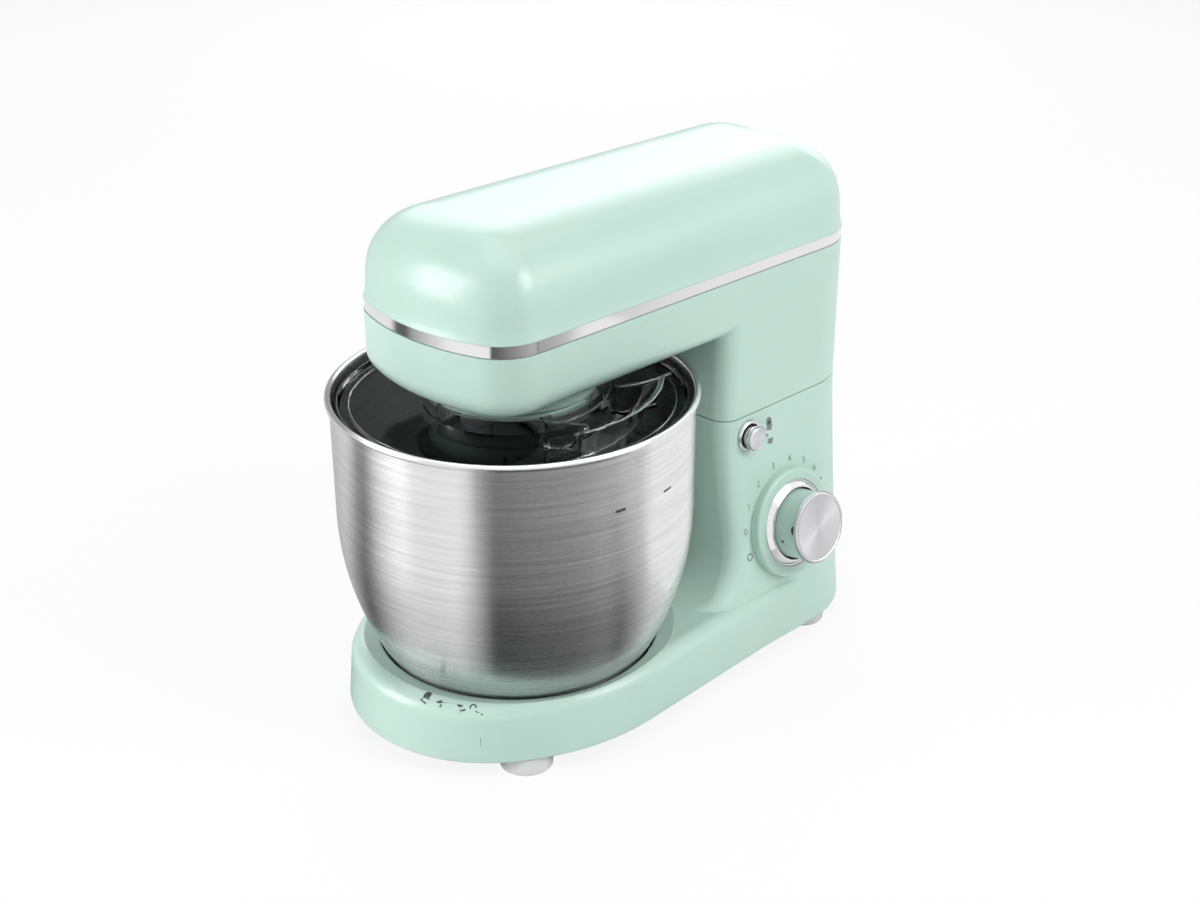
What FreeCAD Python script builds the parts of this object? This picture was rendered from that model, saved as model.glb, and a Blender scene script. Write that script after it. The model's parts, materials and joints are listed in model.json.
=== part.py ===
import FreeCAD, Part
import math
import os
from types import SimpleNamespace
import Sketcher

# Stand mixer with a tilting head, in millimetres.
# The origin is on the ground under the middle of the mixer, +Y to the rear, +Z up.

SIZES = {
    # Whole mixer
    "bowl_axis_y": -69,
    "rear_y": 181,
    "seam_height": 163.7,
    "seam_gap": 0.6,
    "wall": 3.5,
    "slip": 0.3,
    "running": 0.05,
    "overcut": 1,
    # Base
    "foot_height": 10,
    "foot_radius": 16,
    "foot_peg_radius": 4,
    "foot_hollow": 3,
    "foot_rim": 3,
    "foot_lip": 2,
    "foot_front_inset": 33,
    "foot_front_setback": 55,
    "foot_rear_inset": 21,
    "foot_rear_setback": 60,
    "deck_side": 3,
    "platform_widest_y": -60,
    "deck_front": 14,
    "front_tuck": 11,
    "platform_draft": 5,
    "platform_rear_y": 80,
    "platform_rear_radius": 95,
    "deck_height": 46,
    "deck_edge": 10,
    "dish_width": 10,
    "dish_depth": 3.5,
    "recess_gap": 1.7,
    "recess_floor": 18,
    "base_half_width": 96,
    "base_rear_corner": 71,
    "flare_power": 1.28,
    "plate_thickness": 2.5,
    "plate_margin": 4,
    "screw_front": 14,
    "screw_side": 13,
    "screw_middle": 29,
    "screw_flank_x": 82,
    "screw_flank_y": 62,
    "screw_rear_x": 30,
    "screw_rear": 9,
    "screw_radius": 2,
    "screw_length": 14,
    "screw_head_radius": 3.8,
    "screw_head_height": 2.2,
    "screw_boss_radius": 6,
    "screw_boss_height": 30,
    "gland_bore": 4,
    "gland_radius": 8,
    "gland_flange": 10,
    "gland_rim": 3,
    "gland_z": 32,
    "gland_sink": 0.5,
    "room_back": 0.5,
    "column_gap": 3.8,
    "column_front_corner": 12,
    "sweep_radius": 40,
    "sweep_corner": 30,
    "column_roof": 3.5,
    # Bowl
    "bowl_radius": 108.5,
    "bowl_wall": 1.2,
    "bowl_bead": 1.95,
    "bowl_curve_height": 131,
    "bowl_curve_radius": 187.4,
    "bowl_corner": 18,
    "bowl_bottom": 24,
    "lug_ring_inset": 13.2,
    "lug_ring_wall": 6,
    "lug_reach": 12.5,
    "lug_half_angle": 15,
    "lug_thickness": 3,
    "lug_gap": 1.5,
    "seat_gap": 6,
    "seat_drop": 0.7,
    "lip_reach": 6,
    "lip_thickness": 1.5,
    "lip_half_angle": 20,
    # Head
    "head_half_width": 67.3,
    "head_rear_corner": 43,
    "nose_y": -146,
    "nose_arc": 140,
    "nose_corner": 30,
    "arm_rise": 55.3,
    "arm_height": 38,
    "rim_drop": 13,
    "arm_edge": 13,
    "band_height": 7.5,
    "band_shadow": 0.6,
    "band_inset": 0.3,
    "shadow_depth": 1.2,
    "cover_taper": 2,
    "crown_radius": 40,
    "crown_margin": 3,
    "cover_rise": 54,
    # Hinge
    "hinge_reach": 16,
    "pin_radius": 5,
    "pin_half_length": 39,
    "lug_inner_x": 24,
    "lug_plate": 8,
    "lug_plate_half": 9,
    "rib_gap": 1,
    "rib_plate": 6,
    "bush_wall": 2,
    "rib_margin": 3,
    "slot_play": 2,
    "relief_out": 5,
    # Release latch
    "button_setback": 21,
    "button_drop": 13.2,
    "button_radius": 8,
    "button_out": 8.5,
    "button_ring_wall": 1.6,
    "stem_radius": 3,
    "bolt_radius": 5.5,
    "bolt_length": 12,
    "catch_x": 20,
    "catch_plate": 4,
    "catch_width": 14,
    "catch_drop": 26,
    "catch_flange": 3,
    "catch_window_gap": 0.8,
    "catch_play": 2,
    "catch_swing": 7,
    "flange_reach": 8,
    "bolt_gap": 1,
    "button_skirt": 3,
    "button_edge": 1.5,
    "button_dish": 1,
    "button_ring_out": 1.8,
    "button_ring_edge": 0.6,
    "button_well": 6,
    "well_length": 30,
    "guide_x": 46,
    "guide_half": 8,
    "guide_thickness": 4,
    "interlock_gap": 10,
    "interlock_length": 20,
    "interlock_half": 5,
    "interlock_height": 12,
    "lever_gap": 3,
    "lever_drop": 8,
    "lever_half": 3,
    "lever_thickness": 0.8,
    # Speed control
    "knob_y": 97,
    "knob_z": 82.5,
    "knob_tilt": 11,
    "bezel_radius": 36,
    "bezel_height": 6.5,
    "dial_ring_radius": 28.5,
    "dial_ring_height": 5,
    "knob_radius": 23,
    "knob_cap_radius": 23.5,
    "knob_cap_height": 3,
    "knob_out": 27,
    "knob_shaft_radius": 3,
    "switch_radius": 15,
    "switch_depth": 16,
    "switch_setback": 12,
    "boss_rim": 4,
    "boss_step": 6,
    "bezel_edge": 2,
    "dial_ring_lip": 1,
    "dial_ring_rise": 3,
    "shaft_socket": 5,
    "shaft_end_gap": 0.5,
    "cap_edge": 1,
    "cap_rim": 3,
    "board_half_width": 36,
    "board_setback": 8,
    "board_depth": 72,
    "board_thickness": 1.6,
    "post_radius": 3,
    "post_height": 10,
    "post_inset": 6,
    "board_parts_height": 16,
    "capacitor_radius": 7,
    "capacitor_x": -18,
    "coil_x": 14,
    "coil_half": 12,
    # Drive
    "collar_radius": 51,
    "collar_drop": 11,
    "collar_neck": 3,
    "collar_skirt": 4,
    "collar_edge": 1.5,
    "collar_lug_gap": 0.4,
    "collar_lug_angle": 17,
    "collar_lug_thickness": 2,
    "ring_gear_radius": 46.5,
    "planet_offset": 28,
    "ring_teeth": 36,
    "planet_teeth": 12,
    "main_teeth": 36,
    "pinion_teeth": 12,
    "shaft_distance": 45,
    "backlash": 0.25,
    "gear_width": 9,
    "gear_gap": 4,
    "gear_over": 1,
    "shaft_radius": 5,
    "bush_radius": 8,
    "carrier_thickness": 5,
    "carrier_gap": 0.5,
    "carrier_clear": 1,
    "carrier_hub_wall": 4,
    "carrier_hub_height": 8,
    "tool_boss": 10,
    "spindle_rise": 4,
    "shaft_over": 8,
    "hub_radius": 10.5,
    "plate_metal": 4,
    "bridge_rise": 23.5,
    "bridge_front": 32,
    "gear_plate_front": 52,
    "gear_plate_rear": 40,
    "gear_plate_half": 54,
    "gear_post_inset": 8,
    "gear_post_front": 24,
    "gear_post_radius": 5,
    # Motor
    "motor_setback": 54,
    "motor_half": 40,
    "motor_corner": 6,
    "motor_foot_radius": 5,
    "pillar_offset": 33,
    "pillar_radius": 3.5,
    "motor_floor_gap": 5,
    "armature_radius": 23.9,
    "air_gap": 0.5,
    "fan_room": 17.5,
    "stack_height": 40,
    "motor_shaft_radius": 4,
    "brush_room": 24,
    "coil_outer": 38,
    "coil_gap": 2,
    "coil_height": 5,
    "winding_height": 4,
    "winding_inset": 5,
    "commutator_radius": 11,
    "commutator_gap": 8,
    "commutator_height": 12,
    "brush_half": 5,
    "brush_gap": 0.4,
    "brush_reach": 27,
    "fan_gap": 2,
    "fan_overhang": 4,
    "fan_disc": 1.5,
    "fan_hub_wall": 4,
    "fan_blades": 10,
    "blade_height": 5,
    "blade_half": 0.8,
    "pulley_rise": 22,
    "pulley_width": 13,
    "pulley_flange": 1,
    "web_hub": 6,
    "web_rim": 5,
    "web_bottom": 5,
    "web_thickness": 3,
    "motor_pulley_radius": 9,
    "driven_pulley_radius": 45,
    "belt_thickness": 2.5,
    # Splash guard and dough hook
    "guard_gap": 3,
    "guard_sink": 10,
    "guard_thickness": 2,
    "guard_hub_radius": 54,
    "guard_hub_gap": 0.4,
    "guard_rim": 6,
    "guard_lug_thickness": 1.5,
    "guard_lug_angle": 20,
    "chute_inner_radius": 61,
    "chute_edge": 10.3,
    "chute_rise": 19,
    "chute_wall": 2,
    "chute_start": -28,
    "chute_end": 38,
    "chute_wall_angle": 2,
    "shield_radius": 36,
    "shield_drop": 19,
    "shield_half": 1,
    "shield_rim": 3,
    "shield_wall": 2,
    "hook_hub_inset": 2,
    "hook_neck": 18,
    "hook_taper": 4,
    "hook_socket": 14,
    "hook_rod": 6,
    "hook_reach": 32,
    "hook_side_drop": 62,
    "hook_side_radius": 235,
    "hook_bend_radius": 54,
    "hook_tip_x": 4,
    "hook_tip_rise": 28,
}

BAYONET_LUGS = 3
CROWN_STEPS = (24, 48, 70, 90)
PRESSURE_ANGLE = 20
STUB_TIP = 0.8
STUB_ROOT = 1.05
RING_ROOT = 1.0
RING_TIP = 0.58
TOUCH = 0.01

doc = FreeCAD.newDocument("StandMixer")
sheet = doc.addObject("Spreadsheet::Sheet", "Sizes")
for row, (alias, number) in enumerate(SIZES.items(), start=1):
    sheet.set(f"A{row}", alias)
    sheet.set(f"B{row}", str(number))
    sheet.setAlias(f"B{row}", alias)
doc.recompute()


class Size:
    """A number with its formula: sketches are drawn near their place and stay bound to the sheet."""

    def __init__(self, value, formula):
        self.value = value
        self.formula = formula

    def __add__(self, other):
        other = as_size(other)
        return Size(self.value + other.value, f"({self.formula} + {other.formula})")

    def __sub__(self, other):
        other = as_size(other)
        return Size(self.value - other.value, f"({self.formula} - {other.formula})")

    def __mul__(self, other):
        other = as_size(other)
        return Size(self.value * other.value, f"({self.formula} * {other.formula})")

    def __truediv__(self, other):
        other = as_size(other)
        return Size(self.value / other.value, f"({self.formula} / {other.formula})")

    def __pow__(self, other):
        other = as_size(other)
        return Size(self.value ** other.value, f"({self.formula} ^ {other.formula})")

    def __neg__(self):
        return Size(-self.value, f"(0 - {self.formula})")

    def __rsub__(self, other):
        return as_size(other) - self

    __radd__ = __add__
    __rmul__ = __mul__


def as_size(number):
    """A plain number as a size of its own."""
    if isinstance(number, Size):
        return number
    return Size(float(number), f"({number})")


def root(size):
    return Size(math.sqrt(size.value), f"sqrt({size.formula})")


def cosine(degrees):
    degrees = as_size(degrees)
    return Size(math.cos(math.radians(degrees.value)), f"cos({degrees.formula} * 1deg)")


def sine(degrees):
    degrees = as_size(degrees)
    return Size(math.sin(math.radians(degrees.value)), f"sin({degrees.formula} * 1deg)")


s = SimpleNamespace(**{alias: Size(float(number), f"Sizes.{alias}") for alias, number in SIZES.items()})
parts = []


# Drawing helpers

def bind(item, name, size):
    """Tie a property to the sheet."""
    item.setExpression(name, as_size(size).formula)


def place(item, x=0, y=0, z=0):
    """Put a sub-part where the sheet says."""
    bind(item, "Placement.Base.x", x)
    bind(item, "Placement.Base.y", y)
    bind(item, "Placement.Base.z", z)
    return item


def form(label):
    """A body that helps to shape a sub-part."""
    body = doc.addObject("PartDesign::Body", label)
    body.Label = label
    return body


def sub_part(item):
    """Count an object among the pieces that are written out."""
    parts.append(item)
    return item


def new_body(label):
    return sub_part(form(label))


def fused(label, shapes):
    joined = doc.addObject("Part::MultiFuse", label)
    joined.Shapes = shapes
    joined.Refine = False
    return joined


def cut_from(label, base, tool):
    left = doc.addObject("Part::Cut", label)
    left.Label = label
    left.Base = base
    left.Tool = tool
    left.Refine = False
    return left


def sketch_on(body, role, offset=0):
    """A sketch on one of the body's own planes; the offset is along the plane's normal."""
    plane = next(item for item in body.Origin.OriginFeatures if item.Role == role)
    sketch = body.newObject("Sketcher::SketchObject", body.Name + "_sketch")
    sketch.AttachmentSupport = [(plane, "")]
    sketch.MapMode = "FlatFace"
    bind(sketch, "AttachmentOffset.Base.z", offset)
    return sketch


def arc_between(start, end, radius):
    """The short arc from start to end; a positive radius turns left."""
    middle = (start + end) * 0.5
    chord = end - start
    left = FreeCAD.Vector(-chord.y, chord.x, 0)
    left.normalize()
    reach = math.sqrt(max(radius * radius - chord.Length ** 2 / 4, 0))
    centre = middle + left * math.copysign(reach, radius)
    first, last = (start, end) if radius > 0 else (end, start)
    begin = math.atan2(first.y - centre.y, first.x - centre.x)
    finish = math.atan2(last.y - centre.y, last.x - centre.x)
    circle = Part.Circle(centre, FreeCAD.Vector(0, 0, 1), abs(radius))
    return Part.ArcOfCircle(circle, begin, finish)


def draw(sketch, corners, closed=True):
    """Draw an outline through corners (x, y) or (x, y, radius of the arc to the next corner)."""
    corners = [tuple(as_size(item) for item in corner) for corner in corners]
    points = [FreeCAD.Vector(corner[0].value, corner[1].value, 0) for corner in corners]
    ends = []
    for number, corner in enumerate(corners if closed else corners[:-1]):
        start = points[number]
        end = points[(number + 1) % len(points)]
        if len(corner) == 3:
            edge = sketch.addGeometry(arc_between(start, end, corner[2].value), False)
            forward = corner[2].value > 0
            index = sketch.addConstraint(Sketcher.Constraint("Radius", edge, abs(corner[2].value)))
            bind(sketch, f"Constraints[{index}]", corner[2] if forward else -corner[2])
        else:
            edge = sketch.addGeometry(Part.LineSegment(start, end), False)
            forward = True
        ends.append((edge, 1, 2) if forward else (edge, 2, 1))
    joins = list(zip(ends, ends[1:] + ends[:1]))
    for (edge, first, last), (following, joined, far) in joins if closed else joins[:-1]:
        sketch.addConstraint(Sketcher.Constraint("Coincident", edge, last, following, joined))
    pinned = [(edge, first) for edge, first, last in ends]
    if not closed:
        pinned.append((ends[-1][0], ends[-1][2]))
    for (edge, point), corner in zip(pinned, corners):
        for kind, size in (("DistanceX", corner[0]), ("DistanceY", corner[1])):
            index = sketch.addConstraint(Sketcher.Constraint(kind, edge, point, size.value))
            bind(sketch, f"Constraints[{index}]", size)
    return sketch


def draw_circle(sketch, radius, x=0, y=0):
    centre = (as_size(x), as_size(y))
    middle = FreeCAD.Vector(centre[0].value, centre[1].value, 0)
    circle = Part.Circle(middle, FreeCAD.Vector(0, 0, 1), radius.value)
    edge = sketch.addGeometry(circle, False)
    index = sketch.addConstraint(Sketcher.Constraint("Radius", edge, radius.value))
    bind(sketch, f"Constraints[{index}]", radius)
    for kind, size in zip(("DistanceX", "DistanceY"), centre):
        index = sketch.addConstraint(Sketcher.Constraint(kind, edge, 3, size.value))
        bind(sketch, f"Constraints[{index}]", size)
    return sketch


def box_corners(low_x, low_y, high_x, high_y):
    return [(low_x, low_y), (high_x, low_y), (high_x, high_y), (low_x, high_y)]


def sector_corners(inner, outer, start, end):
    """A ring sector between two radii and two angles in degrees."""
    return [
        (inner * cosine(start), inner * sine(start)),
        (outer * cosine(start), outer * sine(start), outer),
        (outer * cosine(end), outer * sine(end)),
        (inner * cosine(end), inner * sine(end), -inner),
    ]


# Feature helpers

def pad(body, sketch, length, midplane=False, backwards=False):
    feature = body.newObject("PartDesign::Pad", body.Name + "_pad")
    feature.Refine = False
    feature.Profile = sketch
    feature.Midplane = midplane
    feature.Reversed = backwards
    bind(feature, "Length", length)
    return feature


def pocket(body, sketch, length, midplane=False, backwards=False):
    """Cut against the sketch's normal, or along it when backwards."""
    feature = body.newObject("PartDesign::Pocket", body.Name + "_pocket")
    feature.Refine = False
    feature.Profile = sketch
    feature.Midplane = midplane
    feature.Reversed = backwards
    bind(feature, "Length", length)
    return feature


def revolve(body, sketch, axis="V_Axis", cut=False):
    kind = "PartDesign::Groove" if cut else "PartDesign::Revolution"
    feature = body.newObject(kind, body.Name + "_turn")
    feature.Refine = False
    feature.Profile = sketch
    feature.ReferenceAxis = (sketch, [axis])
    feature.Angle = 360
    return feature


def loft(body, sections, cut=False, ruled=False):
    kind = "PartDesign::SubtractiveLoft" if cut else "PartDesign::AdditiveLoft"
    feature = body.newObject(kind, body.Name + "_loft")
    feature.Refine = False
    feature.Profile = sections[0]
    feature.Sections = sections[1:]
    feature.Ruled = ruled
    return feature


def polar(body, feature, count):
    """Repeat a feature about the body's Z axis."""
    pattern = body.newObject("PartDesign::PolarPattern", body.Name + "_pattern")
    pattern.Originals = [feature]
    axis = next(item for item in body.Origin.OriginFeatures if item.Role == "Z_Axis")
    pattern.Axis = (axis, [""])
    pattern.Angle = 360
    pattern.Occurrences = count
    body.Tip = pattern
    return pattern


def mirrored(body, features, role="YZ_Plane"):
    """Repeat features on the other side of one of the body's planes."""
    mirror = body.newObject("PartDesign::Mirrored", body.Name + "_mirror")
    mirror.Originals = features
    plane = next(item for item in body.Origin.OriginFeatures if item.Role == role)
    mirror.MirrorPlane = (plane, [""])
    body.Tip = mirror
    return mirror


def rounded(body, radius, wanted):
    """Fillet the edges of the body's last feature that pass the test."""
    doc.recompute()
    base = body.Tip
    names = [f"Edge{number}" for number, edge in enumerate(base.Shape.Edges, start=1) if wanted(edge)]
    fillet = body.newObject("PartDesign::Fillet", body.Name + "_fillet")
    fillet.Base = (base, names)
    bind(fillet, "Radius", radius)
    return fillet


def turned_form(label, *profiles):
    """A body turned about its own Z axis from profiles of (radius, height) corners."""
    body = form(label)
    for profile in profiles:
        revolve(body, draw(sketch_on(body, "XZ_Plane"), profile))
    return body


def turned(label, *profiles):
    return sub_part(turned_form(label, *profiles))


def tube_profile(inner, outer, bottom, top):
    return box_corners(inner, bottom, outer, top)


def solid(label, shape):
    """A sub-part whose form comes from a formula rather than a sketch."""
    item = doc.addObject("Part::Feature", label)
    item.Label = label
    item.Shape = shape
    parts.append(item)
    return item


# Shared outlines

def box_outline(sketch, half_width, front, rear, front_corner, rear_corner):
    """A rectangle with rounded corners, wider than deep or not."""
    return draw(sketch, [
        (half_width, front + front_corner),
        (half_width, rear - rear_corner, rear_corner),
        (half_width - rear_corner, rear),
        (rear_corner - half_width, rear, rear_corner),
        (-half_width, rear - rear_corner),
        (-half_width, front + front_corner, front_corner),
        (front_corner - half_width, front),
        (half_width - front_corner, front, front_corner),
    ])


def head_outline(sketch, inset=0, nose_corner=None, rear_corner=None):
    """The head seen from above: straight sides, a bowed nose and rounded corners."""
    inset = as_size(inset)
    nose_corner = nose_corner or s.nose_corner - inset
    rear_corner = rear_corner or s.head_rear_corner - inset
    half_width = s.head_half_width - inset
    rear = s.rear_y - inset
    arc = s.nose_arc - inset
    arc_centre = s.nose_y + s.nose_arc
    corner_x = half_width - nose_corner
    corner_y = arc_centre - root((arc - nose_corner) ** 2 - corner_x ** 2)
    stretch = arc / (arc - nose_corner)
    meet_x = corner_x * stretch
    meet_y = arc_centre + (corner_y - arc_centre) * stretch
    return draw(sketch, [
        (half_width, corner_y),
        (half_width, rear - rear_corner, rear_corner),
        (half_width - rear_corner, rear),
        (rear_corner - half_width, rear, rear_corner),
        (-half_width, rear - rear_corner),
        (-half_width, corner_y, nose_corner),
        (-meet_x, meet_y, arc),
        (meet_x, meet_y, nose_corner),
    ])


def flare(height):
    """How far the column has spread at a height: 0 at the seam, 1 at the bottom edge."""
    return ((s.seam_height - height) / (s.seam_height - s.foot_height)) ** s.flare_power


def column_half_width(height):
    return s.head_half_width + (s.base_half_width - s.head_half_width) * flare(height)


def column_rear_corner(height):
    return s.head_rear_corner + (s.base_rear_corner - s.head_rear_corner) * flare(height)


column_top = s.seam_height - s.seam_gap / 2
head_bottom = s.seam_height + s.seam_gap / 2
head_floor = head_bottom + s.wall
arm_underside = s.seam_height + s.arm_rise
band_bottom = arm_underside + s.arm_height
cover_bottom = band_bottom + s.band_height
head_top = cover_bottom + s.cover_rise
pivot_y = s.rear_y - s.hinge_reach
pivot_z = s.seam_height + s.hinge_reach
plate_top = s.foot_height + s.plate_thickness
flank_x = column_half_width(s.knob_z)
rim_height = arm_underside - s.rim_drop
bead_edge = s.bowl_radius - s.bowl_wall + s.bowl_bead * 2
bowl_arc_x = s.bowl_radius - s.bowl_curve_radius
bowl_arc_drop = s.bowl_curve_height - s.bowl_bottom - s.bowl_corner
bowl_arc_across = root((s.bowl_curve_radius - s.bowl_corner) ** 2 - bowl_arc_drop ** 2)
bowl_flat = bowl_arc_x + bowl_arc_across
dish_low = s.deck_height - s.dish_depth
bowl_at_dish = bowl_arc_x + root(s.bowl_curve_radius ** 2 - (s.bowl_curve_height - dish_low) ** 2)
recess_radius = bowl_at_dish + s.recess_gap
dish_radius = recess_radius + s.dish_width
lug_ring_radius = bowl_flat - s.lug_ring_inset
lug_radius = lug_ring_radius + s.lug_reach
seat_inner_radius = lug_radius + s.lug_gap
seat_outer_radius = recess_radius - s.seat_gap
column_front_y = s.bowl_axis_y + bead_edge + s.column_gap
button_y = column_front_y + s.button_setback
button_z = s.seam_height - s.button_drop
platform_half_width = dish_radius + s.deck_side
platform_front_y = s.bowl_axis_y - dish_radius - s.deck_front
platform_front_radius = platform_half_width - s.front_tuck
gear_floor = arm_underside + s.wall
bridge_height = gear_floor + s.bridge_rise
collar_bottom = arm_underside - s.collar_drop
hook_y = s.bowl_axis_y - s.planet_offset
motor_y = column_front_y + s.motor_setback
motor_low = head_floor + s.motor_floor_gap
stack_bottom = motor_low + s.plate_metal + s.fan_room
stack_top = stack_bottom + s.stack_height
upper_bracket = stack_top + s.brush_room
pulley_level = upper_bracket + s.plate_metal + s.pulley_rise
guard_floor = rim_height - s.guard_sink
guard_radius = s.bowl_radius - s.bowl_wall - s.guard_gap
chute_top = guard_floor + s.chute_rise
chute_outer_radius = guard_radius - s.chute_edge
shield_height = guard_floor - s.shield_drop


# Base

def front_oval(margin):
    """Where the front arc of the base meets the side arcs, and the side arcs' radius."""
    front = platform_front_radius
    back = platform_front_y + front - s.platform_widest_y
    half = platform_half_width
    side = (half ** 2 + back ** 2 - front ** 2) / (2 * (half - front))
    reach = (front - margin) / (side - front)
    return ((side - half) * reach, platform_front_y + front + back * reach), side - margin


def plate_outline(sketch, margin):
    (meet_x, meet_y), side_arc = front_oval(margin)
    front_arc = platform_front_radius - margin
    half = platform_half_width - margin
    corner = s.base_rear_corner - margin
    side = s.base_half_width - margin
    return draw(sketch, [
        (half, s.platform_widest_y),
        (side, s.rear_y - s.base_rear_corner, corner),
        (side - corner, s.rear_y - margin),
        (corner - side, s.rear_y - margin, corner),
        (-side, s.rear_y - s.base_rear_corner),
        (-half, s.platform_widest_y, side_arc),
        (-meet_x, meet_y, front_arc),
        (meet_x, meet_y, side_arc),
    ])


def platform_outline(sketch):
    """An oval front, and a circle inside the column, joined by their tangents."""
    (meet_x, meet_y), side = front_oval(as_size(0))
    rear = s.platform_rear_radius
    across = side - platform_half_width
    along = s.platform_rear_y - s.platform_widest_y
    change = side - rear
    square = across ** 2 + along ** 2
    level = root(square - change ** 2)
    normal_x = (change * across + along * level) / square
    normal_y = (change * along - across * level) / square
    side_x = side * normal_x - across
    side_y = s.platform_widest_y + side * normal_y
    return draw(sketch, [
        (side_x, side_y),
        (rear * normal_x, s.platform_rear_y + rear * normal_y, rear),
        (0, s.platform_rear_y + rear, rear),
        (-rear * normal_x, s.platform_rear_y + rear * normal_y),
        (-side_x, side_y, side),
        (-meet_x, meet_y, platform_front_radius),
        (meet_x, meet_y, side),
    ])


def deck_screws():
    side = platform_half_width - s.screw_side
    middle = s.bowl_axis_y + s.screw_middle
    return [(0, platform_front_y + s.screw_front), (side, middle), (-side, middle)]


def column_screws():
    flank = (s.screw_flank_x, s.screw_flank_y)
    rear = (s.screw_rear_x, s.rear_y - s.screw_rear)
    return [(side * x, y) for x, y in (flank, rear) for side in (1, -1)]


def base_housing():
    """The moulded housing: outer form, less what is hollow, plus fittings, less their openings."""
    outer = fused("base_outer", [platform(), column()])
    dished = cut_from("base_dished", outer, bowl_room())
    hollowed = cut_from("base_hollowed", dished, column_hollow())
    shell = cut_from("base_shell", hollowed, plate_recess())
    fitted = fused("base_fitted", [shell, screw_bosses(), dial_boss(), latch_guide(), hinge_lugs()])
    openings = fused("base_openings", [
        screw_holes(), dial_bore(), latch_holes(), hinge_bore(), gland_hole(),
    ])
    return sub_part(cut_from("base_housing", fitted, openings))


def platform():
    """The round platform under the bowl, with sloping walls and a soft upper edge."""
    body = form("platform")
    walls = pad(body, platform_outline(sketch_on(body, "XY_Plane", s.foot_height)),
                s.deck_height - s.foot_height)
    bind(walls, "TaperAngle", -s.platform_draft)
    on_deck = s.deck_height.value - TOUCH
    rounded(body, s.deck_edge, lambda edge: edge.BoundBox.ZMin > on_deck)
    return body


def column():
    """The flaring column, cut to a flat front that sweeps forward into the deck."""
    body = form("column")
    toe = column_front_y - s.sweep_radius
    knee = s.deck_height + s.sweep_radius
    sections = []
    for height in (s.foot_height, s.deck_height, knee, (knee + column_top) / 2, column_top):
        sketch = sketch_on(body, "XY_Plane", height)
        sections.append(box_outline(sketch, column_half_width(height), toe, s.rear_y,
                                    s.sweep_corner, column_rear_corner(height)))
    loft(body, sections)
    front = sketch_on(body, "YZ_Plane")
    draw(front, [
        (toe - s.overcut, s.deck_height),
        (toe, s.deck_height, s.sweep_radius),
        (column_front_y, knee),
        (column_front_y, column_top + s.overcut),
        (toe - s.overcut, column_top + s.overcut),
    ])
    pocket(body, front, (s.base_half_width + s.overcut) * 2, midplane=True)
    front_line = column_front_y.value
    rounded(body, s.column_front_corner, lambda edge: on_column_edge(edge, knee.value, front_line))
    return body


def on_column_edge(edge, knee, front_line):
    """An upright front edge of the column, above the sweep."""
    box = edge.BoundBox
    upright = box.ZMin > knee - TOUCH and box.ZLength > s.column_front_corner.value
    return upright and box.YMax < front_line + TOUCH and box.YMin > front_line - TOUCH


def bowl_room():
    """The round dish and recess in the deck, and the room behind the bowl."""
    body = form("bowl_room")
    outer = column_front_y - s.bowl_axis_y - s.room_back
    slope = s.dish_width / s.dish_depth
    revolve(body, draw(sketch_on(body, "XZ_Plane"), [
        (0, s.recess_floor),
        (recess_radius, s.recess_floor),
        (recess_radius, dish_low),
        (dish_radius + slope * s.overcut, s.deck_height + s.overcut, s.bowl_curve_radius),
        (outer, s.bowl_curve_height),
        (outer, s.seam_height),
        (0, s.seam_height),
    ]))
    return place(body, 0, s.bowl_axis_y)


def column_hollow():
    body = form("column_hollow")
    sections = []
    for height in (plate_top, s.deck_height, s.knob_z, column_top - s.column_roof):
        sketch = sketch_on(body, "XY_Plane", height)
        sections.append(box_outline(sketch, column_half_width(height) - s.wall, column_front_y + s.wall,
                                    s.rear_y - s.wall, s.column_front_corner - s.wall,
                                    column_rear_corner(height) - s.wall))
    loft(body, sections)
    return body


def plate_recess():
    body = form("plate_recess")
    pad(body, plate_outline(sketch_on(body, "XY_Plane", s.foot_height), s.plate_margin - s.slip),
        s.plate_thickness)
    return body


def screw_bosses():
    body = form("screw_bosses")
    bosses = sketch_on(body, "XY_Plane", plate_top)
    for x, y in column_screws():
        draw_circle(bosses, s.screw_boss_radius, x, y)
    pad(body, bosses, s.screw_boss_height)
    return body


def screw_holes():
    body = form("screw_holes")
    holes = sketch_on(body, "XY_Plane", plate_top)
    for x, y in deck_screws() + column_screws():
        draw_circle(holes, s.screw_radius + s.running, x, y)
    pad(body, holes, s.screw_length)
    return body


def dial_boss():
    """The raised bezel round the knob, and the boss that the speed switch sits on."""
    inner = s.dial_ring_radius + s.slip
    floor = s.bezel_height - s.dial_ring_height
    return on_dial(turned_form("dial_boss", [
        (0, -s.switch_setback),
        (s.switch_radius + s.boss_rim, -s.switch_setback),
        (s.switch_radius + s.boss_rim, -s.boss_step),
        (s.bezel_radius, -s.boss_step),
        (s.bezel_radius, s.bezel_height - s.bezel_edge, s.bezel_edge),
        (s.bezel_radius - s.bezel_edge, s.bezel_height),
        (inner, s.bezel_height),
        (inner, floor),
        (0, floor),
    ]))


def dial_bore():
    """The bore for the knob's shaft and the well that the dial ring sits in."""
    inner = s.dial_ring_radius + s.slip
    floor = s.bezel_height - s.dial_ring_height
    shaft = s.knob_shaft_radius + s.slip
    return on_dial(turned_form("dial_bore", [
        (0, -s.switch_setback - s.overcut),
        (shaft, -s.switch_setback - s.overcut),
        (shaft, floor),
        (inner, floor),
        (inner, s.bezel_height + s.boss_step),
        (0, s.bezel_height + s.boss_step),
    ]))


def latch_guide():
    """The rib under the column's roof that guides the release button's stem."""
    body = form("latch_guide")
    rib = sketch_on(body, "YZ_Plane", s.guide_x)
    draw(rib, box_corners(button_y - s.guide_half, button_z - s.guide_half,
                          button_y + s.guide_half, column_top - s.overcut))
    pad(body, rib, s.guide_thickness)
    return body


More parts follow.
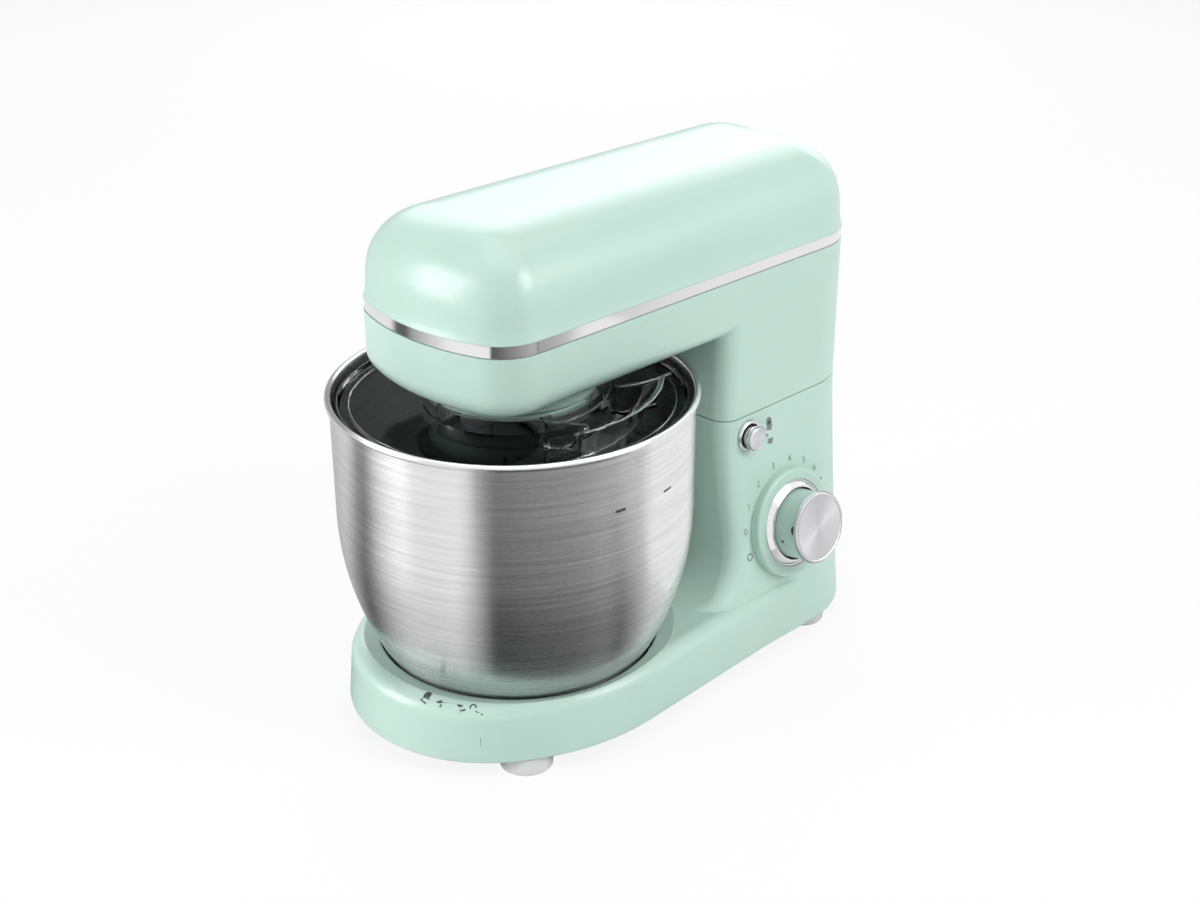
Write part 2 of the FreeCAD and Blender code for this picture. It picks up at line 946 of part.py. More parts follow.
def latch_holes():
    """Openings for the button, for its stem and for the catch in the column's roof."""
    body = form("latch_holes")
    stem = sketch_on(body, "YZ_Plane", s.guide_x - s.overcut)
    draw_circle(stem, s.stem_radius + s.slip, button_y, button_z)
    pad(body, stem, s.guide_thickness + s.overcut * 2)
    opening = sketch_on(body, "YZ_Plane", s.head_half_width - s.wall - s.button_well)
    draw_circle(opening, s.button_radius + s.slip + s.button_ring_wall, button_y, button_z)
    pad(body, opening, s.well_length)
    slot = sketch_on(body, "XY_Plane", column_top - s.column_roof - s.overcut)
    half = s.catch_width / 2
    draw(slot, box_corners(s.catch_x - s.catch_play, button_y - half - s.catch_swing,
                           s.catch_x + s.catch_plate + s.catch_play, button_y + half + s.catch_flange))
    pad(body, slot, s.column_roof + s.overcut * 2)
    return body


def hinge_lugs():
    body = form("hinge_lugs")
    lug = sketch_on(body, "YZ_Plane", s.lug_inner_x)
    half = s.lug_plate_half
    draw(lug, [
        (pivot_y - half, column_top - s.overcut),
        (pivot_y + half, column_top - s.overcut),
        (pivot_y + half, pivot_z, half),
        (pivot_y, pivot_z + half, half),
        (pivot_y - half, pivot_z),
    ])
    mirrored(body, [pad(body, lug, s.lug_plate)])
    return body


def hinge_bore():
    body = form("hinge_bore")
    bore = sketch_on(body, "YZ_Plane", 0)
    draw_circle(bore, s.pin_radius + s.running, pivot_y, pivot_z)
    pad(body, bore, (s.lug_inner_x + s.lug_plate + s.overcut) * 2, midplane=True)
    return body


def gland_hole():
    body = form("gland_hole")
    hole = sketch_on(body, "XZ_Plane", -s.rear_y)
    draw_circle(hole, s.gland_radius + s.running, 0, s.gland_z)
    pad(body, hole, s.wall * 4, midplane=True)
    return body


def base_plate():
    body = new_body("base_plate")
    pad(body, plate_outline(sketch_on(body, "XY_Plane", s.foot_height), s.plate_margin), s.plate_thickness)
    holes = sketch_on(body, "XY_Plane", s.foot_height)
    for x, y in deck_screws() + column_screws():
        draw_circle(holes, s.screw_radius + s.slip, x, y)
    for x, y in foot_places():
        draw_circle(holes, s.foot_peg_radius + s.running, x, y)
    pocket(body, holes, s.plate_thickness, backwards=True)
    posts = sketch_on(body, "XY_Plane", plate_top)
    for x, y in board_corners():
        draw_circle(posts, s.post_radius, x, y)
    pad(body, posts, s.post_height)
    return body


def foot_places():
    front = (platform_half_width - s.foot_front_inset, platform_front_y + s.foot_front_setback)
    rear = (s.base_half_width - s.foot_rear_inset, s.rear_y - s.foot_rear_setback)
    return [(side * x, y) for side in (-1, 1) for x, y in (front, rear)]


def board_corners():
    """Where the posts carry the control board."""
    across = s.board_half_width - s.post_inset
    near = column_front_y + s.wall + s.board_setback + s.post_inset
    far = near + s.board_depth - s.post_inset * 2
    return [(side * across, y) for side in (-1, 1) for y in (near, far)]


def feet():
    names = ("foot_front_left", "foot_rear_left", "foot_front_right", "foot_rear_right")
    for label, (x, y) in zip(names, foot_places()):
        body = turned(label, [
            (0, s.foot_hollow),
            (s.foot_radius - s.foot_lip, 0),
            (s.foot_radius, 0),
            (s.foot_radius, s.foot_lip),
            (s.foot_radius - s.foot_rim, s.foot_height),
            (s.foot_peg_radius, s.foot_height),
            (s.foot_peg_radius, plate_top),
            (0, plate_top),
        ])
        place(body, x, y)


def base_screws():
    body = new_body("base_plate_screws")
    heads = sketch_on(body, "XY_Plane", s.foot_height)
    for x, y in deck_screws() + column_screws():
        draw_circle(heads, s.screw_head_radius, x, y)
    pad(body, heads, s.screw_head_height, backwards=True)
    shanks = sketch_on(body, "XY_Plane", s.foot_height)
    for x, y in deck_screws() + column_screws():
        draw_circle(shanks, s.screw_radius, x, y)
    pad(body, shanks, s.screw_length)
    return body


def cord_gland():
    inside = s.wall + s.gland_sink * 2
    body = turned("cord_gland", [
        (s.gland_bore, 0),
        (s.gland_radius, 0),
        (s.gland_radius, inside),
        (s.gland_flange, inside),
        (s.gland_flange, inside + s.gland_rim),
        (s.gland_bore, inside + s.gland_rim),
    ])
    body.Placement = FreeCAD.Placement(FreeCAD.Vector(), FreeCAD.Rotation(FreeCAD.Vector(1, 0, 0), 90))
    place(body, 0, s.rear_y - s.gland_sink, s.gland_z)


def bowl_seat():
    """The bayonet ring in the recess: three lips hold the lugs of the bowl's foot."""
    top = s.bowl_bottom - s.seat_drop
    body = turned("bowl_seat", tube_profile(seat_inner_radius, seat_outer_radius, s.recess_floor, top))
    lip = sketch_on(body, "XY_Plane", top - s.lip_thickness)
    draw(lip, sector_corners(seat_inner_radius - s.lip_reach, seat_inner_radius + s.overcut,
                             -s.lip_half_angle, s.lip_half_angle))
    polar(body, pad(body, lip, s.lip_thickness), BAYONET_LUGS)
    place(body, 0, s.bowl_axis_y)


# Bowl

def bowl():
    arc = s.bowl_curve_radius
    corner = s.bowl_corner
    wall = s.bowl_wall
    share = arc / (arc - corner)
    inner_share = (arc - wall) / (arc - corner)
    bead = s.bowl_bead
    inner = s.bowl_radius - wall
    bead_x = inner + bead
    bead_z = rim_height - bead
    neck = bead_z - root(bead ** 2 - (bead - wall) ** 2)
    body = turned("bowl", [
        (0, s.bowl_bottom),
        (bowl_flat, s.bowl_bottom, corner),
        (bowl_arc_x + bowl_arc_across * share, s.bowl_curve_height - bowl_arc_drop * share, arc),
        (s.bowl_radius, s.bowl_curve_height),
        (s.bowl_radius, neck, bead),
        (bead_x + bead, bead_z, bead),
        (bead_x, rim_height, bead),
        (inner, bead_z),
        (inner, s.bowl_curve_height, wall - arc),
        (bowl_arc_x + bowl_arc_across * inner_share,
         s.bowl_curve_height - bowl_arc_drop * inner_share, wall - corner),
        (bowl_flat, s.bowl_bottom + wall),
        (0, s.bowl_bottom + wall),
    ])
    place(body, 0, s.bowl_axis_y)


def bowl_foot():
    bottom = s.recess_floor + s.slip
    inner = lug_ring_radius - s.lug_ring_wall
    body = turned("bowl_foot", tube_profile(inner, lug_ring_radius, bottom, s.bowl_bottom))
    lug = sketch_on(body, "XY_Plane", bottom)
    draw(lug, sector_corners(lug_ring_radius - s.overcut, lug_radius, -s.lug_half_angle, s.lug_half_angle))
    polar(body, pad(body, lug, s.lug_thickness), BAYONET_LUGS)
    place(body, 0, s.bowl_axis_y)


# Speed control

def on_dial(body):
    """Stand a turned body on the knob's tilted axis, with its zero on the column's flank."""
    body.Placement = FreeCAD.Placement(FreeCAD.Vector(), FreeCAD.Rotation(FreeCAD.Vector(0, 1, 0), 45))
    place(body, flank_x, s.knob_y, s.knob_z)
    bind(body, "Placement.Rotation.Angle", 90 - s.knob_tilt)
    return body


def speed_control():
    floor = s.bezel_height - s.dial_ring_height
    top = s.knob_out
    hole = s.knob_radius + s.slip * 2
    lip = s.bezel_height + s.dial_ring_rise
    on_dial(turned("dial_ring", [
        (hole, floor),
        (s.dial_ring_radius, floor),
        (s.dial_ring_radius, s.bezel_height),
        (hole + s.dial_ring_lip, lip),
        (hole, lip),
    ]))
    shaft = s.knob_shaft_radius
    cap_floor = top - s.knob_cap_height
    socket = cap_floor - s.shaft_socket
    on_dial(turned("speed_knob", [
        (shaft, floor + s.slip),
        (s.knob_radius, floor + s.slip),
        (s.knob_radius, cap_floor),
        (0, cap_floor),
        (0, socket),
        (shaft, socket),
    ]))
    on_dial(turned("knob_cap", [
        (0, cap_floor),
        (s.knob_cap_radius, cap_floor),
        (s.knob_cap_radius, top - s.cap_edge, s.cap_edge),
        (s.knob_cap_radius - s.cap_edge, top),
        (s.knob_cap_radius - s.cap_rim, top - s.cap_edge / 2),
        (0, top - s.cap_edge),
    ]))
    shaft_end = -s.switch_setback - s.switch_depth / 2
    on_dial(turned("knob_shaft", [
        (0, shaft_end),
        (shaft, shaft_end),
        (shaft, socket),
        (0, socket),
    ]))
    bore = shaft + s.running
    on_dial(turned("speed_switch", [
        (0, -s.switch_setback - s.switch_depth),
        (s.switch_radius, -s.switch_setback - s.switch_depth),
        (s.switch_radius, -s.switch_setback),
        (bore, -s.switch_setback),
        (bore, shaft_end - s.shaft_end_gap),
        (0, shaft_end - s.shaft_end_gap),
    ]))


def control_board():
    body = new_body("control_board")
    front = column_front_y + s.wall + s.board_setback
    board = sketch_on(body, "XY_Plane", plate_top + s.post_height)
    draw(board, box_corners(-s.board_half_width, front, s.board_half_width, front + s.board_depth))
    pad(body, board, s.board_thickness)
    part = sketch_on(body, "XY_Plane", plate_top + s.post_height + s.board_thickness)
    middle = front + s.board_depth / 3
    draw_circle(part, s.capacitor_radius, s.capacitor_x, middle)
    draw(part, box_corners(s.coil_x - s.coil_half, middle - s.coil_half,
                           s.coil_x + s.coil_half, middle + s.coil_half))
    pad(body, part, s.board_parts_height)


# Release latch

def along_x(body, x):
    """Lay a turned body along X on the release button's axis."""
    body.Placement = FreeCAD.Placement(FreeCAD.Vector(), FreeCAD.Rotation(FreeCAD.Vector(0, 1, 0), 90))
    place(body, x, button_y, button_z)
    return body


def release_latch():
    side = column_half_width(button_z)
    tip = s.catch_x + s.catch_plate + s.bolt_gap
    outer = side + s.button_out
    radius = s.button_radius
    skirt = side - s.wall - s.button_skirt
    along_x(turned("release_button", [
        (0, tip),
        (s.stem_radius, tip),
        (s.stem_radius, skirt),
        (radius, skirt),
        (radius, outer - s.button_edge, s.button_edge),
        (radius - s.button_edge, outer),
        (0, outer - s.button_dish),
    ]), 0)
    hole = radius + s.slip
    ring_top = side + s.button_ring_out
    along_x(turned("release_button_ring", [
        (hole, side - s.wall),
        (hole + s.button_ring_wall, side - s.wall),
        (hole + s.button_ring_wall, ring_top - s.button_ring_edge),
        (hole + s.button_ring_edge, ring_top),
        (hole, ring_top),
    ]), 0)
    along_x(turned("latch_bolt", tube_profile(s.stem_radius, s.bolt_radius, tip, tip + s.bolt_length)), 0)


def latch_catch():
    body = new_body("latch_catch")
    half = s.catch_width / 2
    blade = sketch_on(body, "YZ_Plane", s.catch_x)
    draw(blade, box_corners(button_y - half, head_floor - s.catch_drop,
                            button_y + half, head_floor + s.catch_flange))
    pad(body, blade, s.catch_plate)
    window = sketch_on(body, "YZ_Plane", s.catch_x)
    draw_circle(window, s.bolt_radius + s.catch_window_gap, button_y, button_z)
    pocket(body, window, s.catch_plate, backwards=True)
    flange = sketch_on(body, "XY_Plane", head_floor)
    draw(flange, box_corners(s.catch_x - s.flange_reach, button_y - half,
                             s.catch_x + s.catch_plate + s.catch_play, button_y + half))
    pad(body, flange, s.catch_flange)


def interlock_switch():
    """The switch beside the catch, so that the motor only runs with the head down."""
    body = new_body("interlock_switch")
    ceiling = column_top - s.column_roof
    near = s.catch_x - s.interlock_gap
    block = sketch_on(body, "XY_Plane", ceiling)
    draw(block, box_corners(near - s.interlock_length, button_y - s.interlock_half,
                            near, button_y + s.interlock_half))
    pad(body, block, s.interlock_height, backwards=True)
    lever = sketch_on(body, "XY_Plane", ceiling - s.lever_drop)
    draw(lever, box_corners(near - s.overcut, button_y - s.lever_half,
                            s.catch_x - s.lever_gap, button_y + s.lever_half))
    pad(body, lever, s.lever_thickness, backwards=True)


# Hinge

def hinge():
    pin = turned("hinge_pin", [
        (0, -s.pin_half_length),
        (s.pin_radius, -s.pin_half_length),
        (s.pin_radius, s.pin_half_length),
        (0, s.pin_half_length),
    ])
    pin.Placement = FreeCAD.Placement(FreeCAD.Vector(), FreeCAD.Rotation(FreeCAD.Vector(0, 1, 0), 90))
    place(pin, 0, pivot_y, pivot_z)
    inner = s.pin_radius + s.running
    start = s.lug_inner_x + s.lug_plate + s.rib_gap
    for label, side in (("hinge_bush_right", 1), ("hinge_bush_left", -1)):
        bush = turned(label, tube_profile(inner, s.pin_radius + s.bush_wall, side * start,
                                          side * (start + s.rib_plate)))
        bush.Placement = FreeCAD.Placement(FreeCAD.Vector(), FreeCAD.Rotation(FreeCAD.Vector(0, 1, 0), 90))
        place(bush, 0, pivot_y, pivot_z)


# Head

def head_housing():
    """The head's lower shell: arm and upper column, hollowed, with ribs for the hinge."""
    outer = fused("head_outer", [head_arm(), head_column()])
    shell = cut_from("head_shell", outer, fused("head_hollow", [arm_hollow(), head_column_hollow()]))
    ribbed = fused("head_ribbed", [shell, hinge_ribs()])
    openings = fused("head_openings", [
        drive_opening(), bush_bore(), lug_slots(), hinge_relief(), catch_slot(),
    ])
    return sub_part(cut_from("head_housing", ribbed, openings))


def head_arm():
    body = form("head_arm")
    pad(body, head_outline(sketch_on(body, "XY_Plane", arm_underside)), band_bottom - arm_underside)
    below = arm_underside.value + TOUCH
    rounded(body, s.arm_edge, lambda edge: edge.BoundBox.ZMax < below)
    return body


def head_column():
    body = form("head_column")
    column = box_outline(sketch_on(body, "XY_Plane", head_bottom), s.head_half_width, column_front_y,
                         s.rear_y, s.column_front_corner, s.head_rear_corner)
    pad(body, column, arm_underside + s.arm_edge + s.overcut - head_bottom)
    return body


def arm_hollow():
    body = form("arm_hollow")
    pad(body, head_outline(sketch_on(body, "XY_Plane", gear_floor + s.arm_edge), s.wall),
        band_bottom + s.overcut - gear_floor - s.arm_edge)
    lower = sketch_on(body, "XY_Plane", gear_floor)
    head_outline(lower, s.wall + s.arm_edge / 2)
    pad(body, lower, s.arm_edge)
    return body


def head_column_hollow():
    body = form("head_column_hollow")
    shaft = box_outline(sketch_on(body, "XY_Plane", head_floor), s.head_half_width - s.wall,
                        column_front_y + s.wall, s.rear_y - s.wall,
                        s.column_front_corner - s.wall, s.head_rear_corner - s.wall)
    pad(body, shaft, band_bottom + s.overcut - head_floor)
    return body


def drive_opening():
    body = form("drive_opening")
    drive = sketch_on(body, "XY_Plane", arm_underside - s.overcut)
    draw_circle(drive, s.ring_gear_radius + s.slip, 0, s.bowl_axis_y)
    pad(body, drive, s.wall + s.overcut * 2)
    return body


def hinge_ribs():
    """Ribs that carry the hinge bushes."""
    body = form("hinge_ribs")
    rib = sketch_on(body, "YZ_Plane", s.lug_inner_x + s.lug_plate + s.rib_gap)
    half = s.lug_plate_half + s.rib_margin
    draw(rib, box_corners(pivot_y - half, head_bottom + s.overcut,
                          s.rear_y - s.wall + s.overcut, pivot_z + half))
    mirrored(body, [pad(body, rib, s.rib_plate)])
    return body


def bush_bore():
    body = form("bush_bore")
    bore = sketch_on(body, "YZ_Plane", 0)
    draw_circle(bore, s.pin_radius + s.bush_wall, pivot_y, pivot_z)
    reach = s.lug_inner_x + s.lug_plate + s.rib_gap + s.rib_plate
    pad(body, bore, (reach + s.overcut) * 2, midplane=True)
    return body


def lug_slots():
    body = form("lug_slots")
    slot = sketch_on(body, "YZ_Plane", s.lug_inner_x - s.rib_gap)
    draw(slot, box_corners(pivot_y - s.lug_plate_half - s.slot_play, head_bottom - s.overcut,
                           s.rear_y + s.overcut, pivot_z + s.rib_gap))
    mirrored(body, [pad(body, slot, s.lug_plate + s.rib_gap * 2)])
    return body


def hinge_relief():
    """The rear lower edge is rounded about the pin, so that it clears the column as the head tilts."""
    body = form("hinge_relief")
    relief = sketch_on(body, "YZ_Plane", 0)
    reach = s.hinge_reach - s.seam_gap / 2
    draw(relief, [
        (pivot_y, pivot_z - reach, reach),
        (pivot_y + reach, pivot_z),
        (pivot_y + reach + s.relief_out, pivot_z),
        (pivot_y + reach + s.relief_out, pivot_z - reach - s.relief_out),
        (pivot_y, pivot_z - reach - s.relief_out),
    ])
    pad(body, relief, (s.head_half_width + s.overcut) * 2, midplane=True)
    return body


def catch_slot():
    body = form("catch_slot")
    slot = sketch_on(body, "XY_Plane", head_bottom - s.overcut)
    half = s.catch_width / 2 + s.slip
    draw(slot, box_corners(s.catch_x - s.slip, button_y - half,
                           s.catch_x + s.catch_plate + s.slip, button_y + half))
    pad(body, slot, s.wall + s.overcut * 2)
    return body


def head_trim_band():
    """The bright strip, over a narrow shadow line."""
    body = new_body("head_trim_band")
    strip_bottom = band_bottom + s.band_shadow
    for bottom, top, inset in ((band_bottom, strip_bottom, s.band_inset + s.shadow_depth),
                               (strip_bottom, cover_bottom, s.band_inset)):
        ring = sketch_on(body, "XY_Plane", bottom)
        head_outline(ring, inset)
        head_outline(ring, s.wall)
        pad(body, ring, top - bottom)


def head_top_cover():
    body = new_body("head_top_cover")
    spring = head_top - s.crown_radius
    levels = [(cover_bottom, as_size(0), 0), (spring, s.cover_taper, 0)]
    for angle in CROWN_STEPS:
        levels.append((spring + s.crown_radius * sine(angle),
                       s.cover_taper + s.crown_radius * (1 - cosine(angle)), sine(angle)))
    for thickness, cut in ((as_size(0), False), (s.wall, True)):
        sections = []
        for height, inset, lift in levels:
            inset = inset + thickness
            keep = s.crown_radius + s.wall + s.crown_margin
            nose = s.nose_corner * (1 - inset / keep)
            rear = s.head_rear_corner * (1 - inset / keep)
            sketch = sketch_on(body, "XY_Plane", height - thickness * lift)
            sections.append(head_outline(sketch, inset, nose, rear))
        loft(body, sections, cut=cut)


# Drive

def gear_wire(teeth, module, above, below, gap, first):
    """A spur gear outline: involute flanks as arcs through three points, first tooth at an angle."""
    pitch = teeth * module / 2
    pressure = math.radians(PRESSURE_ANGLE)
    base = pitch * math.cos(pressure)
    tip = pitch + above
    low = pitch - below

    def involute(radius):
        angle = math.acos(min(base / radius, 1))
        return math.tan(angle) - angle

    def half_angle(radius):
        return math.pi / (2 * teeth) - gap / (2 * pitch) + involute(pitch) - involute(radius)

    def point(radius, angle):
        return FreeCAD.Vector(radius * math.cos(angle), radius * math.sin(angle), 0)

    start = max(base, low)
    middle = (start + tip) / 2
    step = 2 * math.pi / teeth
    edges = []
    for number in range(teeth):
        centre = math.radians(first) + number * step
        rise = [point(radius, centre - half_angle(radius)) for radius in (start, middle, tip)]
        fall = [point(radius, centre + half_angle(radius)) for radius in (tip, middle, start)]
        foot = point(low, centre - half_angle(start))
        heel = point(low, centre + half_angle(start))
        following = point(low, centre + step - half_angle(start))
        if start > low:
            edges.append(Part.LineSegment(foot, rise[0]).toShape())
        edges.append(Part.Arc(*rise).toShape())
        edges.append(Part.LineSegment(rise[2], fall[0]).toShape())
        edges.append(Part.Arc(*fall).toShape())
        if start > low:
            edges.append(Part.LineSegment(fall[2], heel).toShape())
        edges.append(Part.LineSegment(heel, following).toShape())
    return Part.Wire(edges)


def gear_solid(teeth, module, gap, first, bore, width):
    """An outer gear with stub teeth and a round bore."""
    blank = Part.Face(gear_wire(teeth, module, STUB_TIP * module, STUB_ROOT * module, gap, first))
    wheel = blank.extrude(FreeCAD.Vector(0, 0, width))
    return wheel.cut(Part.makeCylinder(bore, width))


def gears():
    ring_teeth = round(s.ring_teeth.value)
    planet_teeth = round(s.planet_teeth.value)
    gap = s.backlash.value / 2
    module = 2 * s.planet_offset.value / (ring_teeth - planet_teeth)
    width = s.gear_width.value
    over = s.gear_over.value
    space = gear_wire(ring_teeth, module, RING_ROOT * module, RING_TIP * module, -gap, -90)
    blank = Part.makeCylinder(s.ring_gear_radius.value, width + over)
    teeth = Part.Face(space).extrude(FreeCAD.Vector(0, 0, width + over))
    ring = solid("ring_gear", blank.cut(teeth))
    place(ring, 0, s.bowl_axis_y, arm_underside - s.gear_width - s.gear_over)
    shaft = s.shaft_radius.value
    planet = solid("planet_gear", gear_solid(planet_teeth, module, gap, -90, shaft, width - over))
    place(planet, 0, hook_y, arm_underside - s.gear_width)
    main_teeth = round(s.main_teeth.value)
    pinion_teeth = round(s.pinion_teeth.value)
    fine = 2 * s.shaft_distance.value / (main_teeth + pinion_teeth)
    main_bottom = gear_floor + s.plate_metal + s.gear_gap
    main = solid("main_gear", gear_solid(main_teeth, fine, gap, 90, shaft, width))
    place(main, 0, s.bowl_axis_y, main_bottom)
    half_tooth = 180 / pinion_teeth
    pinion = solid("pinion", gear_solid(pinion_teeth, fine, gap, half_tooth - 90, shaft, width + 2 * over))
    place(pinion, 0, s.bowl_axis_y + s.shaft_distance, main_bottom - s.gear_over)


def drive_collar():
    """The collar under the nose that holds the ring gear, with lugs for the splash guard."""
    inner = s.ring_gear_radius + s.running
    neck = s.collar_radius - s.collar_neck
    skirt = collar_bottom - s.collar_skirt
    body = turned("drive_collar", [
        (inner, skirt),
        (neck, skirt),
        (neck, collar_bottom),
        (s.collar_radius - s.collar_edge, collar_bottom),
        (s.collar_radius, collar_bottom + s.collar_edge),
        (s.collar_radius, arm_underside),
        (inner, arm_underside),
    ])
    lug = sketch_on(body, "XY_Plane", skirt)
    draw(lug, sector_corners(neck - s.overcut, s.collar_radius - s.collar_lug_gap,
                             -s.collar_lug_angle, s.collar_lug_angle))
    polar(body, pad(body, lug, s.collar_lug_thickness), BAYONET_LUGS)
    place(body, 0, s.bowl_axis_y)


def planetary():
    top = collar_bottom - s.carrier_gap
    bottom = top - s.carrier_thickness
    shaft = s.shaft_radius
    rim = s.ring_gear_radius - s.carrier_clear
    hub = shaft + s.carrier_hub_wall
    disc = turned("planet_carrier", [
        (shaft, bottom),
        (rim - s.carrier_gap, bottom),
        (rim, bottom + s.carrier_gap),
        (rim, top),
        (hub, top),
        (hub, top + s.carrier_hub_height),
        (shaft, top + s.carrier_hub_height),
    ])
    boss = sketch_on(disc, "XY_Plane", bottom)
    draw_circle(boss, s.hub_radius, 0, -s.planet_offset)
    pad(disc, boss, s.tool_boss, backwards=True)
    bore = sketch_on(disc, "XY_Plane", bottom - s.tool_boss)
    draw_circle(bore, shaft + s.running, 0, -s.planet_offset)
    pocket(disc, bore, s.carrier_thickness + s.tool_boss, backwards=True)
    place(disc, 0, s.bowl_axis_y)
    place(turned("main_shaft", [
        (0, bottom),
        (shaft, bottom),
        (shaft, bridge_height + s.shaft_over),
        (0, bridge_height + s.shaft_over),
    ]), 0, s.bowl_axis_y)
    place(turned("tool_spindle", [
        (0, shield_height + s.spindle_rise),
        (shaft, shield_height + s.spindle_rise),
        (shaft, arm_underside - s.carrier_gap),
        (0, arm_underside - s.carrier_gap),
    ]), 0, hook_y)


def gear_frame():
    plate = new_body("gear_plate")
    half = s.gear_plate_half
    front = s.bowl_axis_y - s.gear_plate_front
    rear = s.bowl_axis_y + s.shaft_distance + s.gear_plate_rear
    outline = sketch_on(plate, "XY_Plane", gear_floor)
    draw(outline, box_corners(-half, front, half, rear))
    pad(plate, outline, s.plate_metal)
    posts = sketch_on(plate, "XY_Plane", gear_floor + s.plate_metal)
    across = half - s.gear_post_inset
    for x in (-across, across):
        for y in (s.bowl_axis_y - s.gear_post_front, rear - s.gear_post_inset):
            draw_circle(posts, s.gear_post_radius, x, y)
    pad(plate, posts, bridge_height - gear_floor - s.plate_metal)
    axes = ((0, s.bowl_axis_y), (0, s.bowl_axis_y + s.shaft_distance))
    bores = sketch_on(plate, "XY_Plane", gear_floor)
    for x, y in axes:
        draw_circle(bores, s.bush_radius, x, y)
    pocket(plate, bores, s.plate_metal, backwards=True)
    bridge = new_body("gear_bridge")
    outline = sketch_on(bridge, "XY_Plane", bridge_height)
    draw(outline, box_corners(-half, s.bowl_axis_y - s.bridge_front, half, rear))
    pad(bridge, outline, s.plate_metal)
    bores = sketch_on(bridge, "XY_Plane", bridge_height)
    for x, y in axes:
        draw_circle(bores, s.bush_radius, x, y)
    pocket(bridge, bores, s.plate_metal, backwards=True)
    names = ("main_bush_lower", "main_bush_upper", "counter_bush_lower", "counter_bush_upper")
    levels = (gear_floor, bridge_height) * 2
    for label, level, (x, y) in zip(names, levels, (axes[0], axes[0], axes[1], axes[1])):
        bush = turned(label, tube_profile(s.shaft_radius + s.running, s.bush_radius, 0, s.plate_metal))
        place(bush, x, y, level)


def countershaft():
    top = pulley_level + s.pulley_width
    y = s.bowl_axis_y + s.shaft_distance
    place(turned("countershaft", [
        (0, gear_floor),
        (s.shaft_radius, gear_floor),
        (s.shaft_radius, top),
        (0, top),
    ]), 0, y)
    place(pulley("driven_pulley", s.driven_pulley_radius, s.shaft_radius), 0, y)


def pulley(label, radius, bore):
    """A flat pulley with a flange below and above the belt; a large one has a thin web."""
    bottom = pulley_level
    top = pulley_level + s.pulley_width
    low = bottom + s.pulley_flange
    high = top - s.pulley_flange
    rim = radius + s.belt_thickness
    groove = [(rim, bottom), (rim, low), (radius, low), (radius, high), (rim, high), (rim, top)]
    hub = bore + s.web_hub
    inside = radius - s.web_rim
    if inside.value < hub.value:
        return turned(label, [(bore, bottom), *groove, (bore, top)])
    web_low = bottom + s.web_bottom
    web_high = web_low + s.web_thickness
    return turned(label, [
        (bore, bottom), (hub, bottom), (hub, web_low), (inside, web_low), (inside, bottom),
        *groove,
        (inside, top), (inside, web_high), (hub, web_high), (hub, top), (bore, top),
    ])


def drive_belt():
    """The flat belt round both pulleys, a little clear of them."""
    body = new_body("drive_belt")
    near = s.motor_pulley_radius + s.slip
    far = s.driven_pulley_radius + s.slip
    span = motor_y - s.bowl_axis_y - s.shaft_distance
    lean = (far - near) / span
    level = root(1 - lean ** 2)
    sketch = sketch_on(body, "XY_Plane", pulley_level + s.pulley_flange + s.slip)
    for extra in (s.belt_thickness - s.slip * 2, as_size(0)):
        small = near + extra
        large = far + extra
        draw(sketch, [
            (small * level, span + small * lean, small),
            (0, span + small, small),
            (-small * level, span + small * lean),
            (-large * level, large * lean, large),
            (-large, 0, large),
            (0, -large, large),
            (large, 0, large),
            (large * level, large * lean),
        ])
    pad(body, sketch, s.pulley_width - (s.pulley_flange + s.slip) * 2)
    place(body, 0, s.bowl_axis_y + s.shaft_distance)


# Motor

